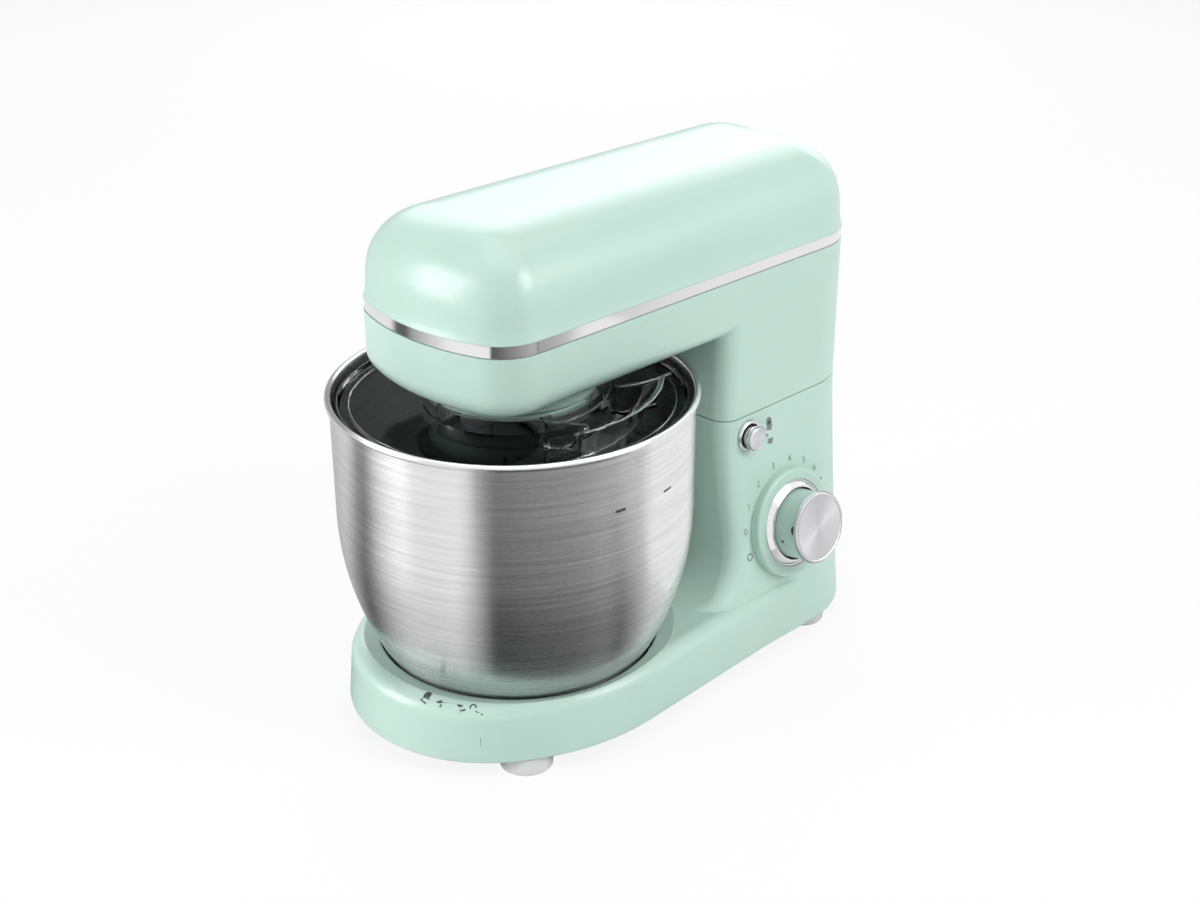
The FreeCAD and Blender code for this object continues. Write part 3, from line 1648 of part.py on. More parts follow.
def motor():
    half = s.motor_half
    corners = [(x * s.pillar_offset, y * s.pillar_offset) for x in (-1, 1) for y in (-1, 1)]
    bore = s.armature_radius + s.air_gap
    stator = new_body("motor_stator")
    sketch = sketch_on(stator, "XY_Plane", stack_bottom)
    box_outline(sketch, half, -half, half, s.motor_corner, s.motor_corner)
    draw_circle(sketch, bore)
    for x, y in corners:
        draw_circle(sketch, s.pillar_radius + s.running, x, y)
    pad(stator, sketch, s.stack_height)
    for level, backwards in ((stack_top, False), (stack_bottom, True)):
        coil = sketch_on(stator, "XY_Plane", level)
        draw_circle(coil, s.coil_outer)
        draw_circle(coil, bore + s.coil_gap)
        pad(stator, coil, s.coil_height, backwards=backwards)
    place(stator, 0, motor_y)
    for label, bottom, feet_below in (("motor_bracket_lower", motor_low, True),
                                      ("motor_bracket_upper", upper_bracket, False)):
        bracket = new_body(label)
        sketch = sketch_on(bracket, "XY_Plane", bottom)
        box_outline(sketch, half, -half, half, s.motor_corner, s.motor_corner)
        draw_circle(sketch, s.bush_radius)
        pad(bracket, sketch, s.plate_metal)
        if feet_below:
            sketch = sketch_on(bracket, "XY_Plane", head_floor)
            for x, y in corners:
                draw_circle(sketch, s.motor_foot_radius, x, y)
            pad(bracket, sketch, s.motor_floor_gap)
        place(bracket, 0, motor_y)
    pillars = new_body("motor_pillars")
    sketch = sketch_on(pillars, "XY_Plane", motor_low + s.plate_metal)
    for x, y in corners:
        draw_circle(sketch, s.pillar_radius, x, y)
    pad(pillars, sketch, upper_bracket - motor_low - s.plate_metal)
    place(pillars, 0, motor_y)
    shaft = s.motor_shaft_radius
    for label, level in (("motor_bearing_lower", motor_low), ("motor_bearing_upper", upper_bracket)):
        bearing = turned(label, tube_profile(shaft + s.running, s.bush_radius, 0, s.plate_metal))
        place(bearing, 0, motor_y, level)
    core = s.armature_radius - s.winding_inset
    place(turned("armature", [
        (0, motor_low),
        (shaft, motor_low),
        (shaft, stack_bottom - s.winding_inset),
        (core, stack_bottom - s.winding_height),
        (core, stack_bottom),
        (s.armature_radius, stack_bottom),
        (s.armature_radius, stack_top),
        (core, stack_top),
        (core, stack_top + s.winding_height),
        (shaft, stack_top + s.winding_inset),
        (shaft, pulley_level + s.pulley_width),
        (0, pulley_level + s.pulley_width),
    ]), 0, motor_y)
    bars = stack_top + s.commutator_gap
    place(turned("commutator", tube_profile(shaft, s.commutator_radius, bars, bars + s.commutator_height)),
          0, motor_y)
    motor_fan(shaft)
    brushes = new_body("brush_holders")
    sketch = sketch_on(brushes, "XY_Plane", bars + s.overcut)
    near = s.commutator_radius + s.brush_gap
    for side in (-1, 1):
        draw(sketch, box_corners(-s.brush_half, side * near, s.brush_half, side * s.brush_reach))
    pad(brushes, sketch, upper_bracket - bars - s.overcut)
    place(brushes, 0, motor_y)
    place(pulley("motor_pulley", s.motor_pulley_radius, shaft), 0, motor_y)


def motor_fan(shaft):
    bottom = motor_low + s.plate_metal + s.fan_gap
    disc = bottom + s.blade_height
    rim = s.armature_radius + s.fan_overhang
    hub = shaft + s.fan_hub_wall
    fan = turned("cooling_fan", tube_profile(shaft, rim, disc, disc + s.fan_disc),
                 tube_profile(shaft, hub, bottom, disc))
    blade = sketch_on(fan, "XY_Plane", bottom)
    draw(blade, box_corners(hub - s.overcut, -s.blade_half, rim - s.overcut, s.blade_half))
    polar(fan, pad(fan, blade, s.blade_height + s.fan_disc / 2), round(s.fan_blades.value))
    place(fan, 0, motor_y)


# Splash guard and tool

def splash_guard():
    """The clear guard: floor, rim, hub with bayonet lugs, and the feed chute."""
    floor = guard_floor
    thick = s.guard_thickness
    rim = guard_radius
    hub = s.guard_hub_radius
    lip = collar_bottom - s.guard_hub_gap
    body = turned("splash_guard", [
        (hub - thick, floor),
        (rim, floor),
        (rim, floor + s.guard_rim),
        (rim - thick, floor + s.guard_rim),
        (rim - thick, floor + thick),
        (hub, floor + thick),
        (hub, lip),
        (hub - thick, lip),
    ])
    inside = s.collar_radius - s.collar_neck + s.slip * 2
    hook = sketch_on(body, "XY_Plane", lip - s.guard_lug_thickness)
    draw(hook, sector_corners(inside, hub - s.overcut, -s.guard_lug_angle, s.guard_lug_angle))
    polar(body, pad(body, hook, s.guard_lug_thickness), BAYONET_LUGS)
    outer = sketch_on(body, "XY_Plane", floor)
    draw(outer, sector_corners(s.chute_inner_radius, chute_outer_radius, s.chute_start, s.chute_end))
    pad(body, outer, chute_top - floor)
    inner = sketch_on(body, "XY_Plane", floor)
    wall = s.chute_wall
    draw(inner, sector_corners(s.chute_inner_radius + wall, chute_outer_radius - wall,
                               s.chute_start + s.chute_wall_angle, s.chute_end - s.chute_wall_angle))
    pocket(body, inner, chute_top - floor, backwards=True)
    place(body, 0, s.bowl_axis_y)


def dough_hook():
    """A bent rod below a hub: down, out round the bowl's side and back under the axis."""
    top = shield_height
    shaft = s.shaft_radius + s.running
    hub = s.hub_radius - s.hook_hub_inset
    wall = s.shield_radius - s.shield_wall
    place(turned("hook_shield", [
        (hub, top - s.shield_half),
        (s.shield_radius - s.shield_half, top - s.shield_half),
        (s.shield_radius, top),
        (s.shield_radius, top + s.shield_rim),
        (wall, top + s.shield_rim),
        (wall, top + s.shield_half),
        (hub, top + s.shield_half),
    ]), 0, hook_y)
    body = turned("dough_hook", [
        (0, top - s.hook_neck),
        (s.hook_rod, top - s.hook_neck),
        (hub, top - s.hook_taper),
        (hub, top + s.hook_socket),
        (shaft, top + s.hook_socket),
        (shaft, top + s.shield_rim),
        (0, top + s.shield_rim),
    ])
    start = top - s.hook_neck + s.overcut
    path = draw(sketch_on(body, "XZ_Plane"), [
        (0, start, -s.hook_side_radius),
        (s.hook_reach, top - s.hook_side_drop, -s.hook_bend_radius),
        (s.hook_tip_x, s.bowl_bottom + s.hook_tip_rise),
    ], closed=False)
    section = sketch_on(body, "XY_Plane", start)
    draw_circle(section, s.hook_rod)
    pipe = body.newObject("PartDesign::AdditivePipe", "dough_hook_rod")
    pipe.Profile = section
    pipe.Spine = (path, [])
    place(body, 0, hook_y)


def check_and_write():
    doc.recompute()
    for item in doc.Objects:
        if {"Invalid", "Error"} & set(item.State):
            raise RuntimeError(f"{item.Label} failed: {item.State}")
    os.makedirs("parts", exist_ok=True)
    for item in parts:
        if item.Shape.isNull() or not item.Shape.isValid():
            raise RuntimeError(f"{item.Label} has no valid shape")
        item.Shape.exportStep(f"parts/{item.Label}.step")


def main():
    base_housing()
    base_plate()
    feet()
    base_screws()
    cord_gland()
    bowl_seat()
    bowl()
    bowl_foot()
    speed_control()
    control_board()
    release_latch()
    latch_catch()
    interlock_switch()
    hinge()
    head_housing()
    head_trim_band()
    head_top_cover()
    gears()
    drive_collar()
    planetary()
    gear_frame()
    countershaft()
    drive_belt()
    motor()
    splash_guard()
    dough_hook()
    check_and_write()


if __name__ == "__main__":
    main()
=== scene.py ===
"""Looks of a tilt-head stand mixer: finishes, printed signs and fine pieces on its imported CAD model."""

import json
import math

import bmesh
import bpy
from mathutils import Matrix, Vector, geometry


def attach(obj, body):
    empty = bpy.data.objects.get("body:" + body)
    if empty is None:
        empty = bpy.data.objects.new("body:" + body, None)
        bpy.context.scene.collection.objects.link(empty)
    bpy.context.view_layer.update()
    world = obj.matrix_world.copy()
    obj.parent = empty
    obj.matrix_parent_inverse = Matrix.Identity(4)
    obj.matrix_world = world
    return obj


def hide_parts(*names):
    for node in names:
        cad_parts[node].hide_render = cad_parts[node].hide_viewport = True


bl_info = {
    "name": "Stand Mixer Looks",
    "version": (1, 0, 0),
    "blender": (4, 5, 0),
    "location": "3D View > Sidebar > Mixer",
    "description": "Finishes, printed signs and fine pieces for a tilt-head stand mixer",
    "category": "Object",
}

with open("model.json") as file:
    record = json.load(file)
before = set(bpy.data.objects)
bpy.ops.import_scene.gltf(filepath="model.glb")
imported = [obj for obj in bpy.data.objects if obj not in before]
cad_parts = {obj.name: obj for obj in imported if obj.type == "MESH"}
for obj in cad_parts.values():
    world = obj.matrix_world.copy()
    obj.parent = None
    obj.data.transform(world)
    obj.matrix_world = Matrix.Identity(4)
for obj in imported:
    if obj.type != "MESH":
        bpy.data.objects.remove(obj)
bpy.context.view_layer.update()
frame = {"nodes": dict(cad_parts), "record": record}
MM = 0.001
OUTSIDE = 0.3  # a place along X that is clear of the mixer


# Properties

def colour(name, description, default):
    return bpy.props.FloatVectorProperty(name=name, description=description, default=default,
                                         subtype="COLOR", size=3, min=0.0, max=1.0)


def distance(name, description, default):
    return bpy.props.FloatProperty(name=name, description=description, default=default,
                                   subtype="DISTANCE", unit="LENGTH", precision=4)


def turn(name, description, degrees):
    return bpy.props.FloatProperty(name=name, description=description, default=math.radians(degrees),
                                   subtype="ANGLE", unit="ROTATION")


def watts(name, description, default):
    return bpy.props.FloatProperty(name=name, description=description, default=default,
                                   unit="POWER", min=0.0)


class MixerColours(bpy.types.PropertyGroup):
    """Colours of the finishes"""

    mint: colour("Mint", "Moulded shells, collar and knob", (0.51, 0.705, 0.63))
    mint_light: colour("Mint, light", "Lightest tone of the moulded shells", (0.53, 0.722, 0.648))
    steel: colour("Bowl steel", "Brushed steel of the bowl", (0.85, 0.85, 0.85))
    trim: colour("Bright trim", "Strip round the head and rings", (0.87, 0.86, 0.865))
    silver: colour("Silver", "Knob cap and release button", (0.72, 0.72, 0.735))
    smoke: colour("Smoke", "Plate of the splash guard", (0.26, 0.272, 0.272))
    clear: colour("Clear", "Feed chute of the splash guard", (0.74, 0.76, 0.76))
    bead: colour("Bead", "Beads along the feed chute's edges", (0.9, 0.9, 0.9))
    ink: colour("Grey print", "Numbers and signs on the column", (0.20, 0.235, 0.225))
    # Dark print also paints the shade in the knob's finger hollow.
    dark_ink: colour("Dark print", "Signs on the deck, collar and bowl", (0.045, 0.055, 0.05))
    pale_rubber: colour("Pale rubber", "Feet", (0.69, 0.69, 0.685))
    dark: colour("Dark plastic", "Shield, switches and base plate", (0.035, 0.037, 0.037))
    rubber: colour("Black rubber", "Belt and cord gland", (0.018, 0.018, 0.018))
    cast: colour("Cast metal", "Dough hook, carrier, plates and pulleys", (0.62, 0.62, 0.63))
    plain: colour("Plain steel", "Shafts, gears and motor", (0.52, 0.52, 0.53))
    bush: colour("Bush metal", "Bushes, bearings and commutator", (0.55, 0.38, 0.16))
    board: colour("Board", "Control board", (0.03, 0.16, 0.06))


class MixerSizes(bpy.types.PropertyGroup):
    """Sizes that place the fine pieces on the CAD model"""

    bowl_axis_y: distance("Bowl axis", "Place of the bowl's axis along Y", -69 * MM)
    bowl_radius: distance("Bowl radius", "Outside of the bowl's straight wall", 108.5 * MM)
    rim_height: distance("Rim height", "Top of the bowl's rolled rim", 206 * MM)
    seam_height: distance("Seam height", "Seam between column and head", 163.7 * MM)
    head_half_width: distance("Head half width", "Half the width of the head", 67.3 * MM)
    base_half_width: distance("Base half width", "Half the width of the column at its foot", 96 * MM)
    foot_height: distance("Foot height", "Height of the feet", 10 * MM)
    dial_y: distance("Dial Y", "Place of the dial along Y", 97 * MM)
    dial_z: distance("Dial height", "Height of the dial's centre", 82.5 * MM)
    dial_tilt: turn("Dial tilt", "How far the knob's axis points up", 11)
    marks_radius: distance("Marks radius", "Ring of numbers round the dial", 41 * MM)
    numeral_height: distance("Numeral height", "Height of the dial's numbers", 6.2 * MM)
    button_y: distance("Button Y", "Place of the release button along Y", 67 * MM)
    button_z: distance("Button height", "Height of the release button", 150.5 * MM)
    guard_radius: distance("Guard radius", "Outside of the splash guard", 104.3 * MM)
    guard_floor: distance("Guard floor", "Underside of the splash guard", 196 * MM)
    print_lift: distance("Print lift", "How far printed signs stand off their surface", 0.12 * MM)


class MixerStage(bpy.types.PropertyGroup):
    """Camera, floor and lamps"""

    aim: bpy.props.FloatVectorProperty(name="Aim", description="Point that the camera looks at", size=3,
                                       subtype="TRANSLATION", unit="LENGTH",
                                       default=(48.22 * MM, -44.40 * MM, 171.02 * MM))
    azimuth: turn("Azimuth", "Turn of the camera round the mixer", 45.117)
    elevation: turn("Elevation", "Height angle of the camera", 25.665)
    reach: distance("Distance", "From the camera to its aim", 1035.377 * MM)
    lens: bpy.props.FloatProperty(name="Lens", description="Focal length of the camera in millimetres",
                                  default=52.5, unit="CAMERA")
    floor: colour("Floor", "Plain floor under the mixer", (0.92, 0.92, 0.92))
    overhead: watts("Overhead lamp", "Large soft lamp above", 16.5)
    key: watts("Key lamp", "Soft lamp at the front left", 32.0)
    fill: watts("Fill lamp", "Soft lamp at the right", 27.0)
    back: watts("Back lamp", "Soft lamp behind, at the left", 14.0)
    low: watts("Low lamp", "Small soft lamp near the floor at the front right", 0.45)
    ambient: bpy.props.FloatProperty(name="Ambient", description="Even light from all sides", default=0.14,
                                     min=0.0, max=1.0, subtype="FACTOR")


# Node helpers

def node(tree, kind, inputs=None, **settings):
    """A new shader node with its settings, its inputs set to values or linked to sockets."""
    item = tree.nodes.new("ShaderNode" + kind)
    for name, value in settings.items():
        setattr(item, name, value)
    for name, value in (inputs or {}).items():
        if isinstance(value, bpy.types.NodeSocket):
            tree.links.new(value, item.inputs[name])
        else:
            item.inputs[name].default_value = value
    return item


def maths(tree, operation, first, second):
    return node(tree, "Math", {0: first, 1: second}, operation=operation).outputs["Value"]


def spread(tree, noise):
    """Stretch a noise's usual span to 0..1."""
    inputs = {"Value": noise.outputs["Fac"], "From Min": 0.3, "From Max": 0.7}
    return node(tree, "MapRange", inputs).outputs["Result"]


def node_group(setting, value, *outputs):
    """Let a function that fills a node group give that group, built once, with one number to set.

    An output called Normal is a vector, and the others are numbers.
    """
    def wrap(fill):
        def give():
            group = bpy.data.node_groups.get(fill.__name__)
            if group is None:
                group = bpy.data.node_groups.new(fill.__name__, "ShaderNodeTree")
                number = group.interface.new_socket(setting, in_out="INPUT", socket_type="NodeSocketFloat")
                number.default_value = value
                for label in outputs:
                    kind = "NodeSocketVector" if label == "Normal" else "NodeSocketFloat"
                    group.interface.new_socket(label, in_out="OUTPUT", socket_type=kind)
                made = fill(group, group.nodes.new("NodeGroupInput").outputs[setting])
                wanted = group.nodes.new("NodeGroupOutput").inputs
                for label, socket in zip(outputs, made):
                    group.links.new(socket, wanted[label])
            return group

        return give

    return wrap


@node_group("Scale", 2200.0, "Height", "Tone")
def moulded_grain(group, scale):
    """Fine grain of a moulding, with a slow change of tone over it."""
    place = node(group, "TexCoord").outputs["Object"]
    fine = node(group, "TexNoise", {"Vector": place, "Scale": scale, "Detail": 2.0})
    broad = node(group, "TexNoise", {"Vector": place, "Scale": 11.0, "Detail": 3.0})
    return fine.outputs["Fac"], spread(group, broad)


@node_group("Pitch", 1500.0, "Height", "Streak")
def brush_lines(group, pitch):
    """Fine lines that run round the object's own Z axis, as brushing or turning leaves them."""
    place = node(group, "TexCoord").outputs["Object"]
    parts = node(group, "SeparateXYZ", {"Vector": place}).outputs
    flat = node(group, "CombineXYZ", {"X": parts["X"], "Y": parts["Y"]}).outputs["Vector"]
    radius = node(group, "VectorMath", {0: flat}, operation="LENGTH").outputs["Value"]
    along = maths(group, "MULTIPLY", maths(group, "SUBTRACT", parts["Z"], radius), pitch)
    turned = maths(group, "ARCTAN2", parts["Y"], parts["X"])
    lines = node(group, "CombineXYZ", {"X": along, "Y": turned}).outputs["Vector"]
    streak = node(group, "TexNoise", {"Vector": lines, "Scale": 1.0, "Detail": 4.0, "Roughness": 0.65})
    return streak.outputs["Fac"], spread(group, streak)


@node_group("Width", 0.0012, "Mask", "Normal")
def edge_rub(group, width):
    """A mask of the edges, where handling leaves a finish a little smoother."""
    soft = node(group, "Bevel", {"Radius": width}, samples=4).outputs["Normal"]
    sharp = node(group, "NewGeometry").outputs["Normal"]
    same = node(group, "VectorMath", {0: soft, 1: sharp}, operation="DOT_PRODUCT").outputs["Value"]
    mask = node(group, "MapRange", {"Value": same, "From Min": 0.98, "From Max": 0.75})
    return mask.outputs["Result"], soft


@node_group("Scale", 700.0, "Height", "Tone")
def cast_skin(group, scale):
    """The small dimples and tone of a cast or sprayed surface."""
    place = node(group, "TexCoord").outputs["Object"]
    cells = node(group, "TexVoronoi", {"Vector": place, "Scale": scale})
    broad = node(group, "TexNoise", {"Vector": place, "Scale": 45.0, "Detail": 4.0})
    return cells.outputs["Distance"], spread(group, broad)


def use(tree, group, **values):
    """Put a node group into a material."""
    item = node(tree, "Group", node_tree=group)
    for name, value in values.items():
        item.inputs[name].default_value = value
    return item.outputs


def between(tree, value, first, last):
    """Colours from first to last as a value goes from 0 to 1."""
    item = node(tree, "ValToRGB", {"Fac": value})
    item.color_ramp.elements[0].color = (*first, 1.0)
    item.color_ramp.elements[1].color = (*last, 1.0)
    return item.outputs["Color"]


def levels(tree, value, low, high):
    return node(tree, "MapRange", {"Value": value, "To Min": low, "To Max": high}).outputs["Result"]


def relief(tree, height, depth, strength=1.0, normal=None):
    inputs = {"Height": height, "Distance": depth, "Strength": strength}
    if normal:
        inputs["Normal"] = normal
    return node(tree, "Bump", inputs).outputs["Normal"]


def shade(tone, share):
    return tuple(channel * share for channel in tone)


def new_material(name):
    """A new material with its node tree."""
    material = bpy.data.materials.new(name)
    material.use_nodes = True
    return material, material.node_tree


def look(name):
    """The finish of that name, built the first time that it is asked for."""
    label = "looks_" + name
    if label not in bpy.data.materials:
        build, tone, *details = FINISHES[name]
        _, tree = new_material(label)
        build(tree, tree.nodes["Principled BSDF"], getattr(bpy.context.scene.mixer_colours, tone), *details)
    return bpy.data.materials[label]


def wire(tree, surface, **sockets):
    """Set or link the shader's sockets; an underscore in a name stands for a space."""
    for name, value in sockets.items():
        socket = surface.inputs[name.replace("_", " ")]
        if isinstance(value, bpy.types.NodeSocket):
            tree.links.new(value, socket)
        elif isinstance(value, float):
            socket.default_value = value
        else:
            socket.default_value = (*value, 1.0)


# Finishes

def mint_paint(tree, surface, tone):
    grain = use(tree, moulded_grain(), Scale=1900.0)
    edge = use(tree, edge_rub(), Width=0.0009)
    light = bpy.context.scene.mixer_colours.mint_light
    wire(tree, surface, Base_Color=between(tree, grain["Tone"], tone, light),
         Roughness=levels(tree, edge["Mask"], 0.34, 0.26),
         Normal=relief(tree, grain["Height"], 0.00002, 0.35, edge["Normal"]),
         Coat_Weight=0.15, Coat_Roughness=0.12)


def brushed_bowl(tree, surface, tone):
    lines = use(tree, brush_lines(), Pitch=2600.0)
    bands = use(tree, brush_lines(), Pitch=330.0)
    radial = node(tree, "Tangent", direction_type="RADIAL", axis="Z").outputs["Tangent"]
    wire(tree, surface, Base_Color=between(tree, bands["Streak"], shade(tone, 0.84), shade(tone, 1.06)),
         Metallic=1.0, Anisotropic=0.9, Anisotropic_Rotation=0.25, Tangent=radial,
         Roughness=levels(tree, lines["Streak"], 0.22, 0.31),
         Normal=relief(tree, lines["Height"], 0.00002, 0.25))


def bright_trim(tree, surface, tone):
    skin = use(tree, moulded_grain(), Scale=500.0)
    wire(tree, surface, Base_Color=between(tree, skin["Tone"], shade(tone, 0.97), tone), Metallic=1.0,
         Roughness=levels(tree, skin["Tone"], 0.10, 0.16),
         Normal=relief(tree, skin["Height"], 0.00001, 0.15))


def spun_silver(tree, surface, tone):
    lines = use(tree, brush_lines(), Pitch=5200.0)
    radial = node(tree, "Tangent", direction_type="RADIAL", axis="Z").outputs["Tangent"]
    wire(tree, surface, Base_Color=between(tree, lines["Streak"], shade(tone, 0.92), tone),
         Metallic=1.0, Anisotropic=0.75, Tangent=radial,
         Roughness=levels(tree, lines["Streak"], 0.24, 0.34),
         Normal=relief(tree, lines["Height"], 0.000015, 0.3))


def clear_plastic(tree, surface, tone, bending):
    """Clear plastic of a tone, with the index of its bending of light."""
    grain = use(tree, moulded_grain(), Scale=240.0)
    wire(tree, surface, Base_Color=between(tree, grain["Tone"], shade(tone, 0.97), tone),
         Transmission_Weight=1.0, IOR=bending, Roughness=levels(tree, grain["Tone"], 0.02, 0.05),
         Normal=relief(tree, grain["Height"], 0.00002, 0.1))


def moulded(tree, surface, tone, roughness, scale=1500.0):
    """A plain moulding or rubber with a fine grain."""
    grain = use(tree, moulded_grain(), Scale=scale)
    edge = use(tree, edge_rub(), Width=0.0006)
    wire(tree, surface, Base_Color=between(tree, grain["Tone"], shade(tone, 0.9), shade(tone, 1.08)),
         Roughness=levels(tree, edge["Mask"], roughness, roughness * 0.8),
         Normal=relief(tree, grain["Height"], 0.00004, 0.6, edge["Normal"]))


def cast_metal(tree, surface, tone):
    skin = use(tree, cast_skin(), Scale=750.0)
    edge = use(tree, edge_rub(), Width=0.0008)
    wire(tree, surface, Base_Color=between(tree, skin["Tone"], shade(tone, 0.88), tone), Metallic=1.0,
         Roughness=levels(tree, edge["Mask"], 0.46, 0.3),
         Normal=relief(tree, skin["Height"], 0.00006, 0.4, edge["Normal"]))


def turned_metal(tree, surface, tone, roughness):
    """Steel or bearing metal with the fine marks of turning."""
    lines = use(tree, brush_lines(), Pitch=3500.0)
    edge = use(tree, edge_rub(), Width=0.0004)
    wire(tree, surface, Base_Color=between(tree, lines["Streak"], shade(tone, 0.9), shade(tone, 1.05)),
         Metallic=1.0, Roughness=levels(tree, edge["Mask"], roughness, roughness * 0.6),
         Normal=relief(tree, lines["Height"], 0.00002, 0.3, edge["Normal"]))


def print_ink(tree, surface, tone):
    """Pad print: slightly uneven and flatter than the paint under it."""
    grain = use(tree, moulded_grain(), Scale=3000.0)
    wire(tree, surface, Base_Color=between(tree, grain["Height"], shade(tone, 0.9), shade(tone, 1.12)),
         Roughness=levels(tree, grain["Tone"], 0.5, 0.6),
         Normal=relief(tree, grain["Height"], 0.00002, 0.3))


# Each finish: what builds it, its colour, and the roughness, index or grain that it is given.
FINISHES = {
    "mint_paint": (mint_paint, "mint"),
    "brushed_bowl": (brushed_bowl, "steel"),
    "bright_trim": (bright_trim, "trim"),
    "spun_silver": (spun_silver, "silver"),
    "smoky_clear": (clear_plastic, "smoke", 1.2),
    "chute_clear": (clear_plastic, "clear", 1.14),
    "bead_clear": (clear_plastic, "bead", 1.5),
    "pale_rubber": (moulded, "pale_rubber", 0.62),
    "dark_plastic": (moulded, "dark", 0.42),
    "black_rubber": (moulded, "rubber", 0.7),
    "board": (moulded, "board", 0.5, 420.0),
    "cast_metal": (cast_metal, "cast"),
    "plain_steel": (turned_metal, "plain", 0.32),
    "bush_metal": (turned_metal, "bush", 0.36),
    "grey_print": (print_ink, "ink"),
    "dark_print": (print_ink, "dark_ink"),
}
# The record's material slots whose finish has another name.
SLOT_FINISHES = {"mint_shell": "mint_paint", "collar_plastic": "mint_paint", "bowl_steel": "brushed_bowl",
                 "silver_plastic": "spun_silver", "cast_light": "cast_metal"}


def dress(*names):
    """Give CAD nodes the finish of their slot."""
    slots = {part["node"]: part["material_slot"] for part in frame["record"]["subparts"]}
    for name in names:
        mesh = frame["nodes"][name].data
        mesh.materials.clear()
        mesh.materials.append(look(SLOT_FINISHES.get(slots[name], slots[name])))


# Mesh helpers

def linked(name, data):
    """A new object in the scene."""
    item = bpy.data.objects.new(name, data)
    bpy.context.scene.collection.objects.link(item)
    return item


def add_piece(mesh, body, finish, place=None, replaces=()):
    """Put a mesh on a CAD body, as a piece of the mesh's name."""
    piece = linked(mesh.name, mesh)
    if place is not None:
        piece.matrix_world = place
    mesh.materials.append(look(finish))
    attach(piece, body)
    if replaces:
        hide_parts(*replaces)


def to_mesh(shape, name, smooth_below=35):
    """Turn a bmesh into a mesh that is smooth but for its sharp edges."""
    mesh = bpy.data.meshes.new(name)
    bmesh.ops.recalc_face_normals(shape, faces=shape.faces)
    shape.to_mesh(mesh)
    shape.free()
    mesh.shade_smooth()
    mesh.set_sharp_from_angle(angle=math.radians(smooth_below))
    return mesh


def arc(centre_x, centre_y, radius, start, end, steps):
    """Points on an arc, angles in degrees."""
    points = []
    for step in range(steps + 1):
        angle = math.radians(start + (end - start) * step / steps)
        points.append((centre_x + radius * math.cos(angle), centre_y + radius * math.sin(angle)))
    return points


def softened(corners, steps=6):
    """Points round a closed outline of (x, y, radius) corners, each corner rounded to its radius."""
    points = []
    for number, (x, y, radius) in enumerate(corners):
        here = Vector((x, y))
        back = (Vector(corners[number - 1][:2]) - here).normalized()
        ahead = (Vector(corners[(number + 1) % len(corners)][:2]) - here).normalized()
        if radius <= 0:
            points.append((x, y))
            continue
        half = back.angle(ahead) / 2
        centre = here + (back + ahead).normalized() * radius / math.sin(half)
        start = here + back * radius / math.tan(half) - centre
        sweep = math.copysign(math.pi - 2 * half, ahead.x * back.y - ahead.y * back.x)
        for step in range(steps + 1):
            angle = -sweep * step / steps
            cosine, sine = math.cos(angle), math.sin(angle)
            points.append((centre.x + start.x * cosine - start.y * sine,
                           centre.y + start.x * sine + start.y * cosine))
    return points


def bridge(shape, first, second):
    """Faces between two rings; a ring of one vertex is a pole."""
    count = max(len(first), len(second))
    for step in range(count):
        corners = []
        for ring, numbers in ((first, (step, step + 1)), (second, (step + 1, step))):
            for number in numbers:
                vertex = ring[number % len(ring)]
                if vertex not in corners:
                    corners.append(vertex)
        if len(corners) > 2:
            shape.faces.new(corners)


def turned_mesh(name, profile, steps=160):
    """A mesh turned about Z from a closed profile of (radius, height) points in millimetres."""
    shape = bmesh.new()
    rings = []
    for radius, height in profile:
        if radius < 0.001:
            rings.append([shape.verts.new((0, 0, height * MM))])
        else:
            rings.append([shape.verts.new((x * MM, y * MM, height * MM))
                          for x, y in arc(0, 0, radius, 0, 360, steps)[:-1]])
    for number, ring in enumerate(rings):
        following = rings[(number + 1) % len(rings)]
        if len(ring) > 1 or len(following) > 1:
            bridge(shape, ring, following)
    return to_mesh(shape, name)


def outline_mesh(name, outlines, lift):
    """Flat faces from outlines of points; lift maps each flat point to its place on a surface."""
    shape = bmesh.new()
    for outline in outlines:
        shape.faces.new([shape.verts.new((x, y, 0)) for x, y in outline])
    bmesh.ops.triangulate(shape, faces=shape.faces)
    for vertex in shape.verts:
        vertex.co = lift(vertex.co.x, vertex.co.y)
    return to_mesh(shape, name)


def moved(outlines, x, y, scale=1.0):
    """Outlines scaled and moved."""
    return [[(x + scale * u, y + scale * v) for u, v in outline] for outline in outlines]


def padlock(is_open):
    """A padlock sign one unit wide: its body, and its shackle as a bent bar."""
    body = softened([(-0.5, -0.55, 0.1), (0.5, -0.55, 0.1), (0.5, 0.15, 0.1), (-0.5, 0.15, 0.1)], 3)
    top = 0.3 if is_open else 0.55
    bar = arc(0, top, 0.38, 0, 180, 12) + [(-0.38, 0.13), (-0.22, 0.13)] + arc(0, top, 0.22, 180, 0, 12)
    if is_open:
        bar = moved([bar], -0.62, 0.05)[0]
    else:
        bar += [(0.22, 0.13), (0.38, 0.13)]
    return [body, bar]


def arrow():
    """A two-ended arrow two units long."""
    return [[(-1.0, 0.0), (-0.68, -0.22), (-0.68, -0.07), (0.68, -0.07), (0.68, -0.22), (1.0, 0.0),
             (0.68, 0.22), (0.68, 0.07), (-0.68, 0.07), (-0.68, 0.22)]]


def axis_place(origin, direction):
    """The place of a piece whose own Z axis points in a direction."""
    turn_to = Vector((0, 0, 1)).rotation_difference(Vector(direction))
    return Matrix.Translation(Vector(origin)) @ turn_to.to_matrix().to_4x4()


def flank_x(height):
    """Half width of the flaring column at a height."""
    sizes = bpy.context.scene.mixer_sizes
    share = (sizes.seam_height - height) / (sizes.seam_height - sizes.foot_height)
    return sizes.head_half_width + (sizes.base_half_width - sizes.head_half_width) * max(share, 0.0) ** 1.28


